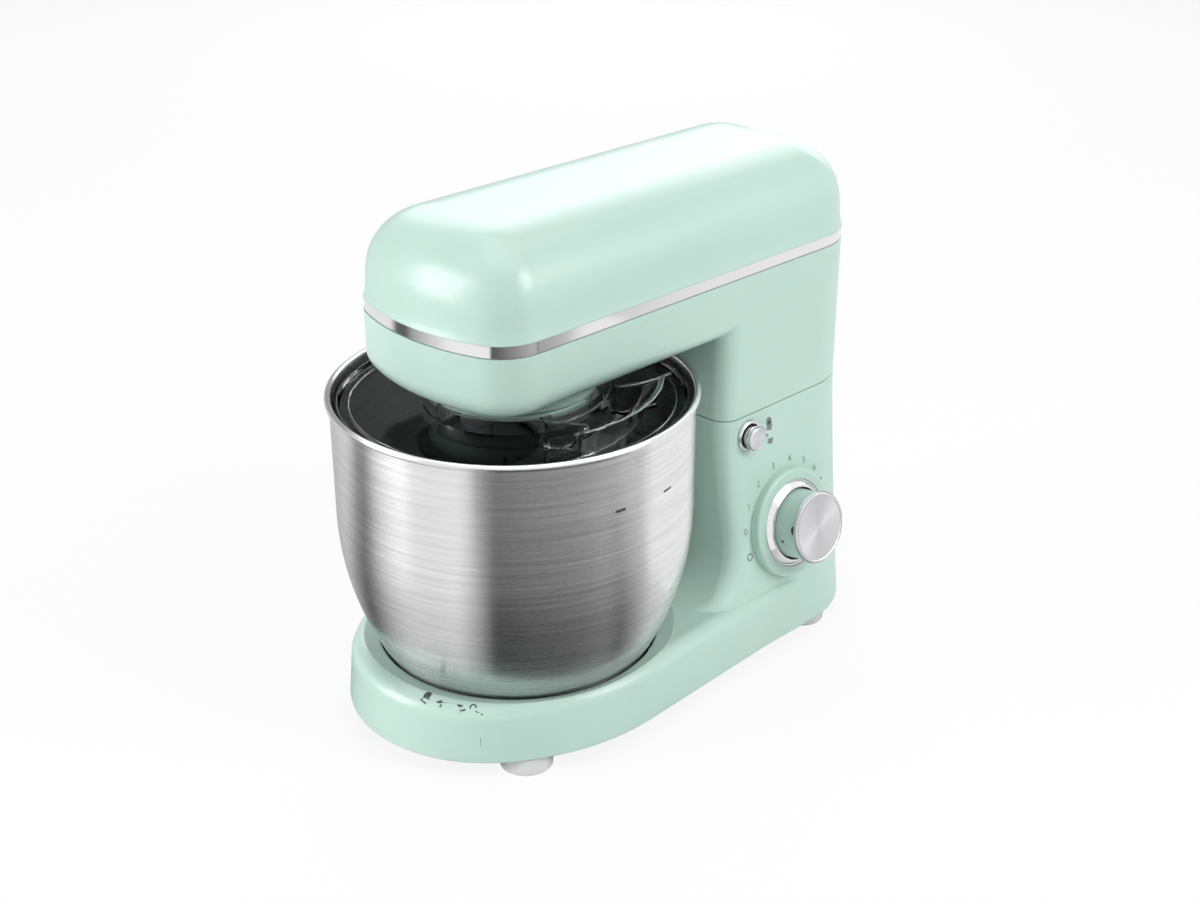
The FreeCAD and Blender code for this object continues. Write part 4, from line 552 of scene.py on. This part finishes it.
def printed(start, direction):
    """A printed point on the base's shell, found by looking from a start in a direction."""
    shell = frame["nodes"]["base_housing"]
    into = shell.matrix_world.inverted()
    found, place, _, _ = shell.ray_cast(into @ Vector(start), into.to_3x3() @ Vector(direction))
    if not found:
        raise RuntimeError("No shell to print on from %s" % (start,))
    return shell.matrix_world @ place - Vector(direction) * bpy.context.scene.mixer_sizes.print_lift


def on_flank(y, z):
    """A printed point on the column's right flank."""
    return printed((OUTSIDE, y, z), (-1, 0, 0))


def dial_place():
    """The knob's tilted axis, with its zero on the column's flank."""
    sizes = bpy.context.scene.mixer_sizes
    direction = (math.cos(sizes.dial_tilt), 0, math.sin(sizes.dial_tilt))
    return axis_place((flank_x(sizes.dial_z), sizes.dial_y, sizes.dial_z), direction)


def bowl_place():
    return Matrix.Translation((0, bpy.context.scene.mixer_sizes.bowl_axis_y, 0))


def round_bowl(reach, angle, height):
    """A point round the bowl's axis, at an angle in radians."""
    axis_y = bpy.context.scene.mixer_sizes.bowl_axis_y
    return Vector((reach * math.cos(angle), axis_y + reach * math.sin(angle), height))


# Pieces

class MIXER_OT_shells(bpy.types.Operator):
    """Mint finish of the moulded shells and the collar, and the bright strip round the head"""

    bl_idname = "mixer.shells"
    bl_label = "Shells and trim"

    def execute(self, context):
        dress("base_housing", "head_housing", "head_top_cover", "drive_collar", "head_trim_band")
        return {"FINISHED"}


class MIXER_OT_bowl(bpy.types.Operator):
    """Brushed steel bowl with its rolled rim and the level bars printed on it"""

    bl_idname = "mixer.bowl"
    bl_label = "Bowl"

    def execute(self, context):
        sizes = context.scene.mixer_sizes
        radius = sizes.bowl_radius / MM
        rim = sizes.rim_height / MM
        floor, wall, bead = 24, 1.2, 1.93
        heel, heel_height, heel_bend = 65.2, 42, 18
        side_height, side_bend = 131, 187.4
        lean = -31.7  # where the heel's bend goes over into the side's
        outside = [(0, floor)] + arc(heel, heel_height, heel_bend, -90, lean, 10)
        outside += arc(radius - side_bend, side_height, side_bend, lean, 0, 40)
        rolled = arc(radius - wall + bead, rim - bead, bead, -112.6, 180, 20)
        inside = arc(radius - side_bend, side_height, side_bend - wall, 0, lean, 40)
        inside += arc(heel, heel_height, heel_bend - wall, lean, -90, 10)
        mesh = turned_mesh("bowl_shell", outside + rolled + inside + [(0, floor + wall)], 240)
        add_piece(mesh, "bowl", "brushed_bowl", bowl_place(), ("bowl",))
        dress("bowl", "bowl_foot")

        def on_wall(angle, height):
            return round_bowl(sizes.bowl_radius + sizes.print_lift, math.radians(angle), height)

        bars = []
        for start, end, low, high in ((-11.2, -7.6, 167.3, 169.0), (9.2, 13.0, 166.6, 167.7)):
            edge = [start + (end - start) * step / 6 for step in range(7)]
            bars.append([(angle, low * MM) for angle in edge]
                        + [(angle, high * MM) for angle in reversed(edge)])
        add_piece(outline_mesh("level_bars", bars, on_wall), "bowl", "dark_print")
        return {"FINISHED"}


class MIXER_OT_splash_guard(bpy.types.Operator):
    """Smoky clear splash guard: ridged plate, hub, skirt and the feed chute with its pouring lip"""

    bl_idname = "mixer.splash_guard"
    bl_label = "Splash guard"

    def execute(self, context):
        sizes = context.scene.mixer_sizes
        floor = sizes.guard_floor / MM
        rim = sizes.guard_radius / MM
        self.add(self.plate(floor, rim), "smoky_clear", ("splash_guard",))
        ridge = [(96.2, floor + 2.05, 0), (98.4, floor + 2.05, 0), (98.0, floor + 3.0, 0.35),
                 (96.6, floor + 3.0, 0.35)]
        self.add(turned_mesh("guard_ridge", softened(ridge, 4)), "smoky_clear")
        skirt = [(rim - 2, floor, 0.4), (rim, floor, 0.5), (rim, floor + 6, 0.8), (rim - 2, floor + 6, 0.8)]
        self.add(turned_mesh("guard_skirt", softened(skirt, 5)), "smoky_clear")
        hub = [(52.0, floor, 0.3), (53.9, floor, 0.3), (53.9, floor + 11.6, 0.7), (52.0, floor + 11.6, 0.7)]
        self.add(turned_mesh("guard_hub", softened(hub, 5)), "chute_clear")
        self.add(self.chute(floor), "chute_clear")
        beads = bmesh.new()
        self.bead(beads, self.loop(2.1, 6.0), 214.6)
        self.bead(beads, self.loop(0.7), floor + 2.7)
        self.add(to_mesh(beads, "chute_beads", 80), "bead_clear")
        dress("splash_guard")
        return {"FINISHED"}

    def add(self, mesh, finish, replaces=()):
        add_piece(mesh, "guard", finish, bowl_place(), replaces)

    def bead(self, shape, outline, height, radius=0.6, sides=8):
        """A thin round bead along a level closed outline."""
        rings = []
        for number, (x, y) in enumerate(outline):
            ahead = Vector(outline[(number + 1) % len(outline)]) - Vector(outline[number - 1])
            out = Vector((ahead.y, -ahead.x)).normalized()
            ring = []
            for u, v in arc(0, 0, radius, 0, 360, sides)[:-1]:
                ring.append(shape.verts.new(((x + out.x * u) * MM, (y + out.y * u) * MM, (height + v) * MM)))
            rings.append(ring)
        for number, ring in enumerate(rings):
            bridge(shape, rings[number - 1], ring)

    def loop(self, grow, tip=0.0, corner=8.0):
        """The chute seen from above: a bent oblong, wider by grow, its far corner drawn out by tip."""
        middle = 77.5
        near, far = 61.0 - grow, 94.0 + grow
        start = math.radians(-28) * middle - grow
        end = math.radians(38) * middle + grow
        radius = corner + grow
        draw = tip * 0.7
        bend = softened([(start, near, radius), (end, near, radius), (end + tip, far + draw, radius - draw),
                         (start, far, radius)], 8)
        points = []
        for number, (along, out) in enumerate(bend):
            following = bend[(number + 1) % len(bend)]
            for step in range(6):
                share = step / 6
                angle = (along + (following[0] - along) * share) / middle
                reach = out + (following[1] - out) * share
                points.append((reach * math.cos(angle), reach * math.sin(angle)))
        return points

    def plate(self, floor, rim):
        """The flat plate with its holes for hub and chute."""
        inset, hub_hole, chute_gap, thickness = 2.05, 53.95, 0.05, 2 * MM
        outlines = (arc(0, 0, rim - inset, 0, 360, 160)[:-1], arc(0, 0, hub_hole, 0, 360, 120)[:-1],
                    self.loop(chute_gap))
        points, edges = [], []
        for outline in outlines:
            first = len(points)
            points += [Vector(point) for point in outline]
            last = len(points) - 1
            edges += [(number, number + 1) for number in range(first, last)] + [(last, first)]
        flat, _, triangles, *_ = geometry.delaunay_2d_cdt(points, edges, [], 1, 1e-5)
        shape = bmesh.new()
        corners = [shape.verts.new((point.x * MM, point.y * MM, floor * MM)) for point in flat]
        for triangle in triangles:
            middle = sum((flat[number] for number in triangle), Vector((0, 0))) / 3
            if self.crossings(middle, outlines) % 2:
                shape.faces.new([corners[number] for number in triangle])
        lifted = bmesh.ops.extrude_face_region(shape, geom=shape.faces[:], use_keep_orig=True)["geom"]
        top = [item for item in lifted if isinstance(item, bmesh.types.BMVert)]
        bmesh.ops.translate(shape, verts=top, vec=(0, 0, thickness))
        return to_mesh(shape, "guard_plate")

    def crossings(self, point, outlines):
        """How many edges of the outlines lie to the right of a point."""
        count = 0
        for outline in outlines:
            for number, (x, y) in enumerate(outline):
                last_x, last_y = outline[number - 1]
                if (y > point.y) != (last_y > point.y):
                    count += point.x < (last_x - x) * (point.y - y) / (last_y - y) + x
        return count

    def chute(self, floor):
        """The chute's wall, from levels of (height, growth, tip) up its outside and down its inside."""
        top = 215.0
        levels_up = [(floor, 0.0, 0.0), (floor + 3, 0.0, 0.0), (top - 3.5, 0.2, 0.0), (top - 1.6, 1.0, 2.0),
                     (top - 0.4, 2.4, 6.0), (top, 2.9, 7.0)]
        levels_down = [(top, 1.9, 6.0), (top - 1.5, 0.4, 3.0), (top - 4, -1.2, 0.0), (top - 8, -1.8, 0.0),
                       (floor, -2.0, 0.0)]
        shape = bmesh.new()
        rings = []
        for height, grow, tip in levels_up + levels_down:
            rings.append([shape.verts.new((x * MM, y * MM, height * MM)) for x, y in self.loop(grow, tip)])
        for number, ring in enumerate(rings):
            bridge(shape, ring, rings[(number + 1) % len(rings)])
        return to_mesh(shape, "feed_chute", 50)


class MIXER_OT_dough_hook(bpy.types.Operator):
    """Cast dough hook and its dark shield"""

    bl_idname = "mixer.dough_hook"
    bl_label = "Dough hook"

    def execute(self, context):
        dress("dough_hook", "hook_shield")
        return {"FINISHED"}


class MIXER_OT_speed_knob(bpy.types.Operator):
    """Speed knob: spun cap, moulded side with its dot and finger hollow, painted shade in the hollow, and
    bright ring
    """

    bl_idname = "mixer.speed_knob"
    bl_label = "Speed knob"

    def execute(self, context):
        place = dial_place()
        cap = softened([(0, 24.02, 0), (22.6, 24.02, 0.2), (23.5, 24.6, 0.3), (23.5, 26.4, 0.7),
                        (22.7, 27.0, 0.3), (21.7, 27.0, 0.3), (21.0, 26.5, 0.3), (0, 26.0, 0)], 5)
        add_piece(turned_mesh("spun_cap", cap, 128), "knob", "spun_silver", place,
                  ("knob_cap",))
        side = [(22.9 - 0.4 * math.sin(math.pi * step / 28), 2.2 + 21.4 * step / 28) for step in range(29)]
        grip = [(3, 1.9), (22.6, 1.9)] + side + [(22.5, 23.98), (0, 23.98), (0, 19), (3, 19)]
        mesh = turned_mesh("knob_grip", grip, 256)
        for vertex in mesh.vertices:
            vertex.co = self.scooped(vertex.co)
        add_piece(mesh, "knob", "mint_paint", place, ("speed_knob",))
        ring = softened([(23.6, 1.5, 0), (28.5, 1.5, 0.2), (28.5, 6.5, 0.8), (25.4, 9.2, 0.8),
                         (23.6, 9.2, 0.5)], 5)
        add_piece(turned_mesh("dial_bright_ring", ring, 128), "base", "bright_trim", place,
                  ("dial_ring",))

        def on_side(along, up):
            reach = 22.65
            angle = math.radians(-80) + along / reach
            return Vector((reach * math.cos(angle) * MM, reach * math.sin(angle) * MM, up * MM))

        dot = outline_mesh("pointer_dot", [arc(0, 13.8, 1.0, 0, 360, 24)[:-1]], on_side)
        add_piece(dot, "knob", "dark_print", place)
        # Painted shade: a dark print half-oval laid in the finger hollow, standing for the shade in it.
        hollow = [(4.4 * u, 23.9 - 4.6 * v) for u, v in arc(0, 0, 1.0, 0, 180, 20)]

        def in_hollow(along, up):
            reach = 22.5
            angle = math.radians(-90 - self.hollow_turn) + along / reach
            point = self.scooped(Vector((reach * math.cos(angle), reach * math.sin(angle), up)) * MM)
            return point * 1.004

        mesh = outline_mesh("finger_hollow", [hollow], in_hollow)
        add_piece(mesh, "knob", "dark_print", place)
        dress("knob_cap", "speed_knob", "dial_ring", "knob_shaft")
        return {"FINISHED"}

    hollow_turn = 11

    def scooped(self, point):
        """A point of the knob's side, pressed in where a finger hollow lies beside the cap."""
        half_width, height, depth = 5.2, 7.5, 3.4
        inner, top = 20 * MM, 24
        degrees_per_radian = 57.3
        reach = math.hypot(point.x, point.y)
        if reach < inner:
            return point
        turned = math.degrees(math.atan2(point.y, point.x)) + 90 + self.hollow_turn
        across = turned * reach / MM / degrees_per_radian / half_width
        along = (top - point.z / MM) / height
        pressed = depth * max(0.0, 1 - across * across - along * along) ** 0.5
        share = 1 - pressed * MM / reach
        return Vector((point.x * share, point.y * share, point.z))


class MIXER_OT_dial_marks(bpy.types.Operator):
    """Numbers and marks printed round the dial"""

    bl_idname = "mixer.dial_marks"
    bl_label = "Dial marks"

    def execute(self, context):
        sizes = context.scene.mixer_sizes
        shape = bmesh.new()
        ring = (-165, 171, 149, 126, 102, 79, 58, 40, 24)
        for label, angle in zip((None, "0", "1", "2", "3", "4", "5", "6", None), ring):
            y = sizes.dial_y + sizes.marks_radius * math.cos(math.radians(angle))
            z = sizes.dial_z + sizes.marks_radius * math.sin(math.radians(angle))
            if label:
                self.numeral(shape, label, sizes.numeral_height, y, z)
            elif angle == ring[0]:
                bridge(shape, self.circle(shape, y, z, 2.7, 28), self.circle(shape, y, z, 1.7, 28))
            else:
                shape.faces.new(self.circle(shape, y, z, 0.9, 20))
        bmesh.ops.triangulate(shape, faces=shape.faces)
        for vertex in shape.verts:
            vertex.co = on_flank(vertex.co.x, vertex.co.y)
        add_piece(to_mesh(shape, "dial_marks"), "base", "grey_print")
        return {"FINISHED"}

    def circle(self, shape, y, z, radius, steps):
        return [shape.verts.new((u, v, 0)) for u, v in arc(y, z, radius * MM, 0, 360, steps)[:-1]]

    def numeral(self, shape, label, height, y, z):
        """A number as a flat mesh about a point."""
        curve = bpy.data.curves.new("numeral", "FONT")
        curve.body = label
        curve.size = height
        curve.align_x = curve.align_y = "CENTER"
        holder = bpy.data.objects.new("numeral", curve)
        mesh = bpy.data.meshes.new_from_object(holder)
        mesh.transform(Matrix.Translation((y, z, 0)))
        shape.from_mesh(mesh)
        bpy.data.objects.remove(holder)
        bpy.data.curves.remove(curve)
        bpy.data.meshes.remove(mesh)


class MIXER_OT_release_button(bpy.types.Operator):
    """Release button with its bright ring, and the padlock signs beside it"""

    bl_idname = "mixer.release_button"
    bl_label = "Release button"

    def execute(self, context):
        sizes = context.scene.mixer_sizes
        place = axis_place((0, sizes.button_y, sizes.button_z), (1, 0, 0))
        side = flank_x(sizes.button_z) / MM
        tip = 25.0
        button = softened([(0, tip, 0), (3, tip, 0), (3, side - 6.5, 0), (7.9, side - 6.5, 0.3),
                           (7.9, side - 4, 0.3), (6.9, side - 3, 0.4), (6.9, side + 4.6, 0.4),
                           (8.0, side + 5.2, 0.3), (8.0, side + 8.0, 0.7), (7.0, side + 8.5, 0.4),
                           (0, side + 8.1, 0)], 4)
        add_piece(turned_mesh("button_cap", button, 96), "button", "spun_silver", place,
                  ("release_button",))
        ring = softened([(8.3, side - 3.5, 0), (9.9, side - 3.5, 0.2), (9.9, side + 1.3, 0.5),
                         (8.9, side + 1.8, 0.3), (8.3, side + 1.8, 0.2)], 4)
        add_piece(turned_mesh("button_bright_ring", ring, 96), "base", "bright_trim", place,
                  ("release_button_ring",))
        dress("release_button", "release_button_ring", "latch_bolt")
        signs = []
        for is_open, y, z in ((False, 87.2, 150.6), (True, 87.4, 141.4)):
            signs += moved(padlock(is_open), y * MM, z * MM, 6.4 * MM)
        add_piece(outline_mesh("column_padlocks", signs, on_flank), "base", "grey_print")
        return {"FINISHED"}


class MIXER_OT_signs(bpy.types.Operator):
    """Padlocks and arrow printed on the deck, and the marks on the collar"""

    bl_idname = "mixer.signs"
    bl_label = "Printed signs"

    def execute(self, context):
        sizes = context.scene.mixer_sizes
        deck_reach, above_deck = 103 * MM, 0.1
        collar_reach, collar_height = 51 * MM + sizes.print_lift, 214 * MM

        def on_deck(along, inward):
            angle = math.radians(-65) + along / deck_reach
            return printed(round_bowl(deck_reach - inward, angle, above_deck), (0, 0, -1))

        def on_collar(along, up):
            return round_bowl(collar_reach, math.radians(-40) + along / collar_reach, collar_height + up)

        signs = moved(padlock(False), -16.8 * MM, 0, 5.6 * MM) + moved(arrow(), 0, 0, 9.4 * MM)
        signs += moved(padlock(True), 16.8 * MM, 0, 5.6 * MM)
        add_piece(outline_mesh("deck_signs", signs, on_deck), "base", "dark_print")
        triangle = [[(-0.8, -0.6), (0.8, -0.6), (0, 0.7)]]
        marks = moved(padlock(False), -7 * MM, 0, 2.6 * MM) + moved(triangle, 0, 0, 1.6 * MM)
        marks += moved(padlock(True), 7 * MM, 0, 2.6 * MM)
        add_piece(outline_mesh("collar_marks", marks, on_collar), "head", "dark_print")
        return {"FINISHED"}


class MIXER_OT_underside(bpy.types.Operator):
    """Feet, base plate with its screws, bowl seat and cord gland"""

    bl_idname = "mixer.underside"
    bl_label = "Feet and underside"

    def execute(self, context):
        dress("foot_front_left", "foot_front_right", "foot_rear_left", "foot_rear_right", "base_plate",
              "base_plate_screws", "bowl_seat", "cord_gland")
        return {"FINISHED"}


class MIXER_OT_works(bpy.types.Operator):
    """Motor, belt, gears, hinge, latch and switches inside the shells"""

    bl_idname = "mixer.works"
    bl_label = "Inner works"

    def execute(self, context):
        dress("motor_stator", "armature", "commutator", "brush_holders", "cooling_fan", "motor_pillars",
              "motor_bearing_lower", "motor_bearing_upper", "motor_bracket_lower", "motor_bracket_upper",
              "motor_pulley", "drive_belt", "driven_pulley", "countershaft", "counter_bush_lower",
              "counter_bush_upper", "pinion", "main_gear", "main_shaft", "main_bush_lower", "main_bush_upper",
              "gear_plate", "gear_bridge", "ring_gear", "planet_carrier", "planet_gear", "tool_spindle",
              "hinge_pin", "hinge_bush_left", "hinge_bush_right", "latch_catch", "speed_switch",
              "interlock_switch", "control_board")
        return {"FINISHED"}


class MIXER_OT_stage(bpy.types.Operator):
    """Camera, plain floor, soft lamps and the even light around"""

    bl_idname = "mixer.stage"
    bl_label = "Stage"

    def execute(self, context):
        stage = context.scene.mixer_stage
        context.scene.view_settings.view_transform = "Standard"
        self.camera(context, stage)
        self.floor(stage)
        self.world(context, stage)
        middle = (0, 0, 0.15)
        self.lamp("overhead_lamp", (0.1, 0.1, 1.9), (0, 0, 0.1), 1.8, 1.8, stage.overhead)
        self.lamp("key_lamp", (-1.0, -1.8, 0.75), middle, 1.0, 1.3, stage.key)
        self.lamp("fill_lamp", (1.8, 0.8, 1.4), middle, 1.0, 1.2, stage.fill)
        self.lamp("back_lamp", (-1.5, 1.5, 1.0), middle, 1.2, 1.2, stage.back, False)
        self.lamp("low_lamp", (0.45, -0.42, 0.06), (0.05, -0.1, 0.03), 0.3, 0.06, stage.low, False)
        # Painted reflections: cards that glow only where bright surfaces mirror them.
        self.floor_card()
        self.side_cards()
        return {"FINISHED"}

    def camera(self, context, stage):
        data = bpy.data.cameras.new("photo_camera")
        data.lens = stage.lens
        data.sensor_width = 36.0
        data.sensor_fit = "HORIZONTAL"
        data.clip_start = 0.01
        camera = linked("photo_camera", data)
        level = math.cos(stage.elevation)
        back = Vector((math.sin(stage.azimuth) * level, -math.cos(stage.azimuth) * level,
                       math.sin(stage.elevation)))
        camera.location = Vector(stage.aim) + back * stage.reach
        camera.rotation_euler = (math.pi / 2 - stage.elevation, 0, stage.azimuth)
        context.scene.camera = camera

    def seen(self, tree):
        """1 for what the camera sees, directly, mirrored or through glass; 0 past a matt surface."""
        path = node(tree, "LightPath").outputs
        first = maths(tree, "MAXIMUM", path["Is Camera Ray"], path["Is Glossy Ray"])
        either = maths(tree, "MAXIMUM", first, path["Is Transmission Ray"])
        return maths(tree, "MULTIPLY", either, maths(tree, "LESS_THAN", path["Diffuse Depth"], 0.5))

    def floor(self, stage):
        """A plain floor that is nearly white to the camera and keeps a faint shadow."""
        half_size, white_share = 6.0, 0.88
        shape = bmesh.new()
        bmesh.ops.create_grid(shape, x_segments=8, y_segments=8, size=half_size)
        material, tree = new_material("pale_floor")
        surface = tree.nodes["Principled BSDF"]
        grain = use(tree, moulded_grain(), Scale=300.0)
        wire(tree, surface, Roughness=0.8,
             Base_Color=between(tree, grain["Tone"], shade(stage.floor, 0.99), stage.floor))
        glow = node(tree, "Emission", {"Color": (1, 1, 1, 1), "Strength": 1.0}).outputs["Emission"]
        share = maths(tree, "MULTIPLY", self.seen(tree), white_share)
        mix = node(tree, "MixShader", {0: share, 1: surface.outputs["BSDF"], 2: glow})
        tree.links.new(mix.outputs["Shader"], tree.nodes["Material Output"].inputs["Surface"])
        piece = linked("floor", to_mesh(shape, "floor"))
        piece.data.materials.append(material)

    def world(self, context, stage):
        world = bpy.data.worlds.new("studio")
        context.scene.world = world
        world.use_nodes = True
        tree = world.node_tree
        strength = node(tree, "MapRange", {"Value": self.seen(tree), "To Min": stage.ambient, "To Max": 1.0})
        tree.links.new(strength.outputs["Result"], tree.nodes["Background"].inputs["Strength"])
        tree.nodes["Background"].inputs["Color"].default_value = (1, 1, 1, 1)

    def lamp(self, name, place, aim, width, depth, power, mirrored=True):
        """A soft lamp; one that isn't mirrored doesn't show in bright or clear surfaces."""
        data = bpy.data.lights.new(name, "AREA")
        data.shape = "RECTANGLE"
        data.size = width
        data.size_y = depth
        data.energy = power
        lamp = linked(name, data)
        lamp.visible_camera = lamp.visible_glossy = lamp.visible_transmission = mirrored
        lamp.location = place
        lamp.rotation_euler = (Vector(aim) - Vector(place)).to_track_quat("-Z", "Y").to_euler()

    def card(self, name, shape, place, glow):
        """A card that glows only in reflections: a painted reflection, shown mirrored in bright surfaces."""
        card = linked(name, to_mesh(shape, name))
        card.matrix_world = place
        material, tree = new_material(name)
        light = node(tree, "Emission", {"Color": glow(tree), "Strength": self.seen(tree)})
        tree.links.new(light.outputs["Emission"], tree.nodes["Material Output"].inputs["Surface"])
        card.data.materials.append(material)
        card.visible_camera = card.visible_diffuse = False
        card.visible_shadow = card.visible_transmission = False

    def floor_card(self):
        """Rings on the floor round the bowl that glow only in reflections: painted reflections, darker and
        lighter by angle, in bowl and strip.

        Their tones by angle are set so that bowl and strip come near the photo.
        """
        bowl_reflection_tones = ((-180, 0.5), (-160, 0.66), (-148, 0.34), (-137, 0.08), (-126, 0.24), (-112, 0.52),
                      (-95, 0.86), (-74, 1.0), (-64, 0.58), (-54, 0.03), (-35, 0.08), (5, 0.17), (15, 0.06),
                      (24, 0.3), (38, 0.82), (55, 1.0), (75, 1.0), (95, 0.7), (130, 0.5), (180, 0.5))
        strip_reflection_tones = ((-180, 0.9), (-150, 0.9), (-146, 0.1), (-138, 0.12), (-134, 0.4), (-110, 0.97),
                       (-67, 0.97), (-64, 0.08), (-30, 0.24), (22, 0.5), (29, 0.45), (32, 0.06), (36, 0.42),
                       (41, 0.66), (48, 0.88), (56, 0.95), (140, 0.97), (180, 0.9))
        above_floor = Matrix.Translation((0, 0, 0.002))
        for name, near, far, tones in (("bowl_card", 0.06, 0.53, bowl_reflection_tones),
                                       ("strip_card", 0.53, 1.5, strip_reflection_tones)):
            shape = bmesh.new()
            rings = [[shape.verts.new((x, y, 0)) for x, y in arc(0, 0, radius, 0, 360, 96)[:-1]]
                     for radius in (near, far)]
            bridge(shape, *rings)
            self.card(name, shape, bowl_place() @ above_floor, lambda tree: self.ring_glow(tree, tones))

    def ring_glow(self, tree, tones):
        """Painted reflection tones by angle round a card's middle, darker near the middle."""
        place = node(tree, "TexCoord").outputs["Object"]
        angle = node(tree, "TexGradient", {"Vector": place}, gradient_type="RADIAL").outputs["Fac"]
        ramp = node(tree, "ValToRGB", {"Fac": angle})
        while len(ramp.color_ramp.elements) < len(tones):
            ramp.color_ramp.elements.new(0.5)
        for element, (degrees, tone) in zip(ramp.color_ramp.elements, tones):
            element.position = degrees / 360 + 0.5
            element.color = (tone, tone, tone, 1.0)
        away = node(tree, "VectorMath", {0: place}, operation="LENGTH").outputs["Value"]
        share = node(tree, "MapRange", {"Value": away, "From Min": 0.1, "From Max": 0.34, "To Min": 0.58,
                                        "To Max": 1.0}).outputs["Result"]
        return node(tree, "VectorMath", {0: ramp.outputs["Color"], "Scale": share},
                    operation="SCALE").outputs["Vector"]

    def side_cards(self):
        """Painted reflections: a grey card at the left, which the splash guard mirrors, a bright one behind
        for a painted sheen on the head's top, and a pale one beside the column for a painted highlight on the
        bowl's right edge."""
        cards = (("left_card", (-0.25, -0.30), (-0.25, 0.45), 0.205, 0.40, 0.4),
                 ("sky_card", (-1.9, 0.2), (-0.2, 1.9), 0.5, 2.0, 3.4),
                 ("right_card", (0.075, 0.044), (0.20, 0.044), 0.03, 0.21, 0.97))
        for name, start, end, low, high, tone in cards:
            shape = bmesh.new()
            corners = ((*start, low), (*end, low), (*end, high), (*start, high))
            shape.faces.new([shape.verts.new(corner) for corner in corners])
            self.card(name, shape, Matrix(), lambda tree: (tone, tone, tone, 1.0))


class MIXER_PT_looks(bpy.types.Panel):
    """Sizes, colours and pieces of the mixer's looks"""

    bl_idname = "MIXER_PT_looks"
    bl_label = "Stand mixer"
    bl_space_type = "VIEW_3D"
    bl_region_type = "UI"
    bl_category = "Mixer"

    def draw(self, context):
        for operator in OPERATORS:
            self.layout.operator(operator.bl_idname)
        scene = context.scene
        for group in (scene.mixer_colours, scene.mixer_sizes, scene.mixer_stage):
            column = self.layout.column(align=True)
            for name in group.__annotations__:
                column.prop(group, name)


GROUPS = {"mixer_colours": MixerColours, "mixer_sizes": MixerSizes, "mixer_stage": MixerStage}
OPERATORS = (MIXER_OT_stage, MIXER_OT_shells, MIXER_OT_bowl, MIXER_OT_splash_guard, MIXER_OT_dough_hook,
             MIXER_OT_speed_knob, MIXER_OT_dial_marks, MIXER_OT_release_button, MIXER_OT_signs,
             MIXER_OT_underside, MIXER_OT_works)


def register():
    for group in GROUPS.values():
        bpy.utils.register_class(group)
    for name, group in GROUPS.items():
        setattr(bpy.types.Scene, name, bpy.props.PointerProperty(type=group))
    for item in OPERATORS:
        bpy.utils.register_class(item)
    bpy.utils.register_class(MIXER_PT_looks)


def unregister():
    bpy.utils.unregister_class(MIXER_PT_looks)
    for item in reversed(OPERATORS):
        bpy.utils.unregister_class(item)
    for name, group in GROUPS.items():
        delattr(bpy.types.Scene, name)
        bpy.utils.unregister_class(group)


def main():
    register()
    bpy.ops.mixer.stage()
    bpy.ops.mixer.shells()
    bpy.ops.mixer.bowl()
    bpy.ops.mixer.splash_guard()
    bpy.ops.mixer.dough_hook()
    bpy.ops.mixer.speed_knob()
    bpy.ops.mixer.dial_marks()
    bpy.ops.mixer.release_button()
    bpy.ops.mixer.signs()
    bpy.ops.mixer.underside()
    bpy.ops.mixer.works()


if __name__ == "__main__":
    main()
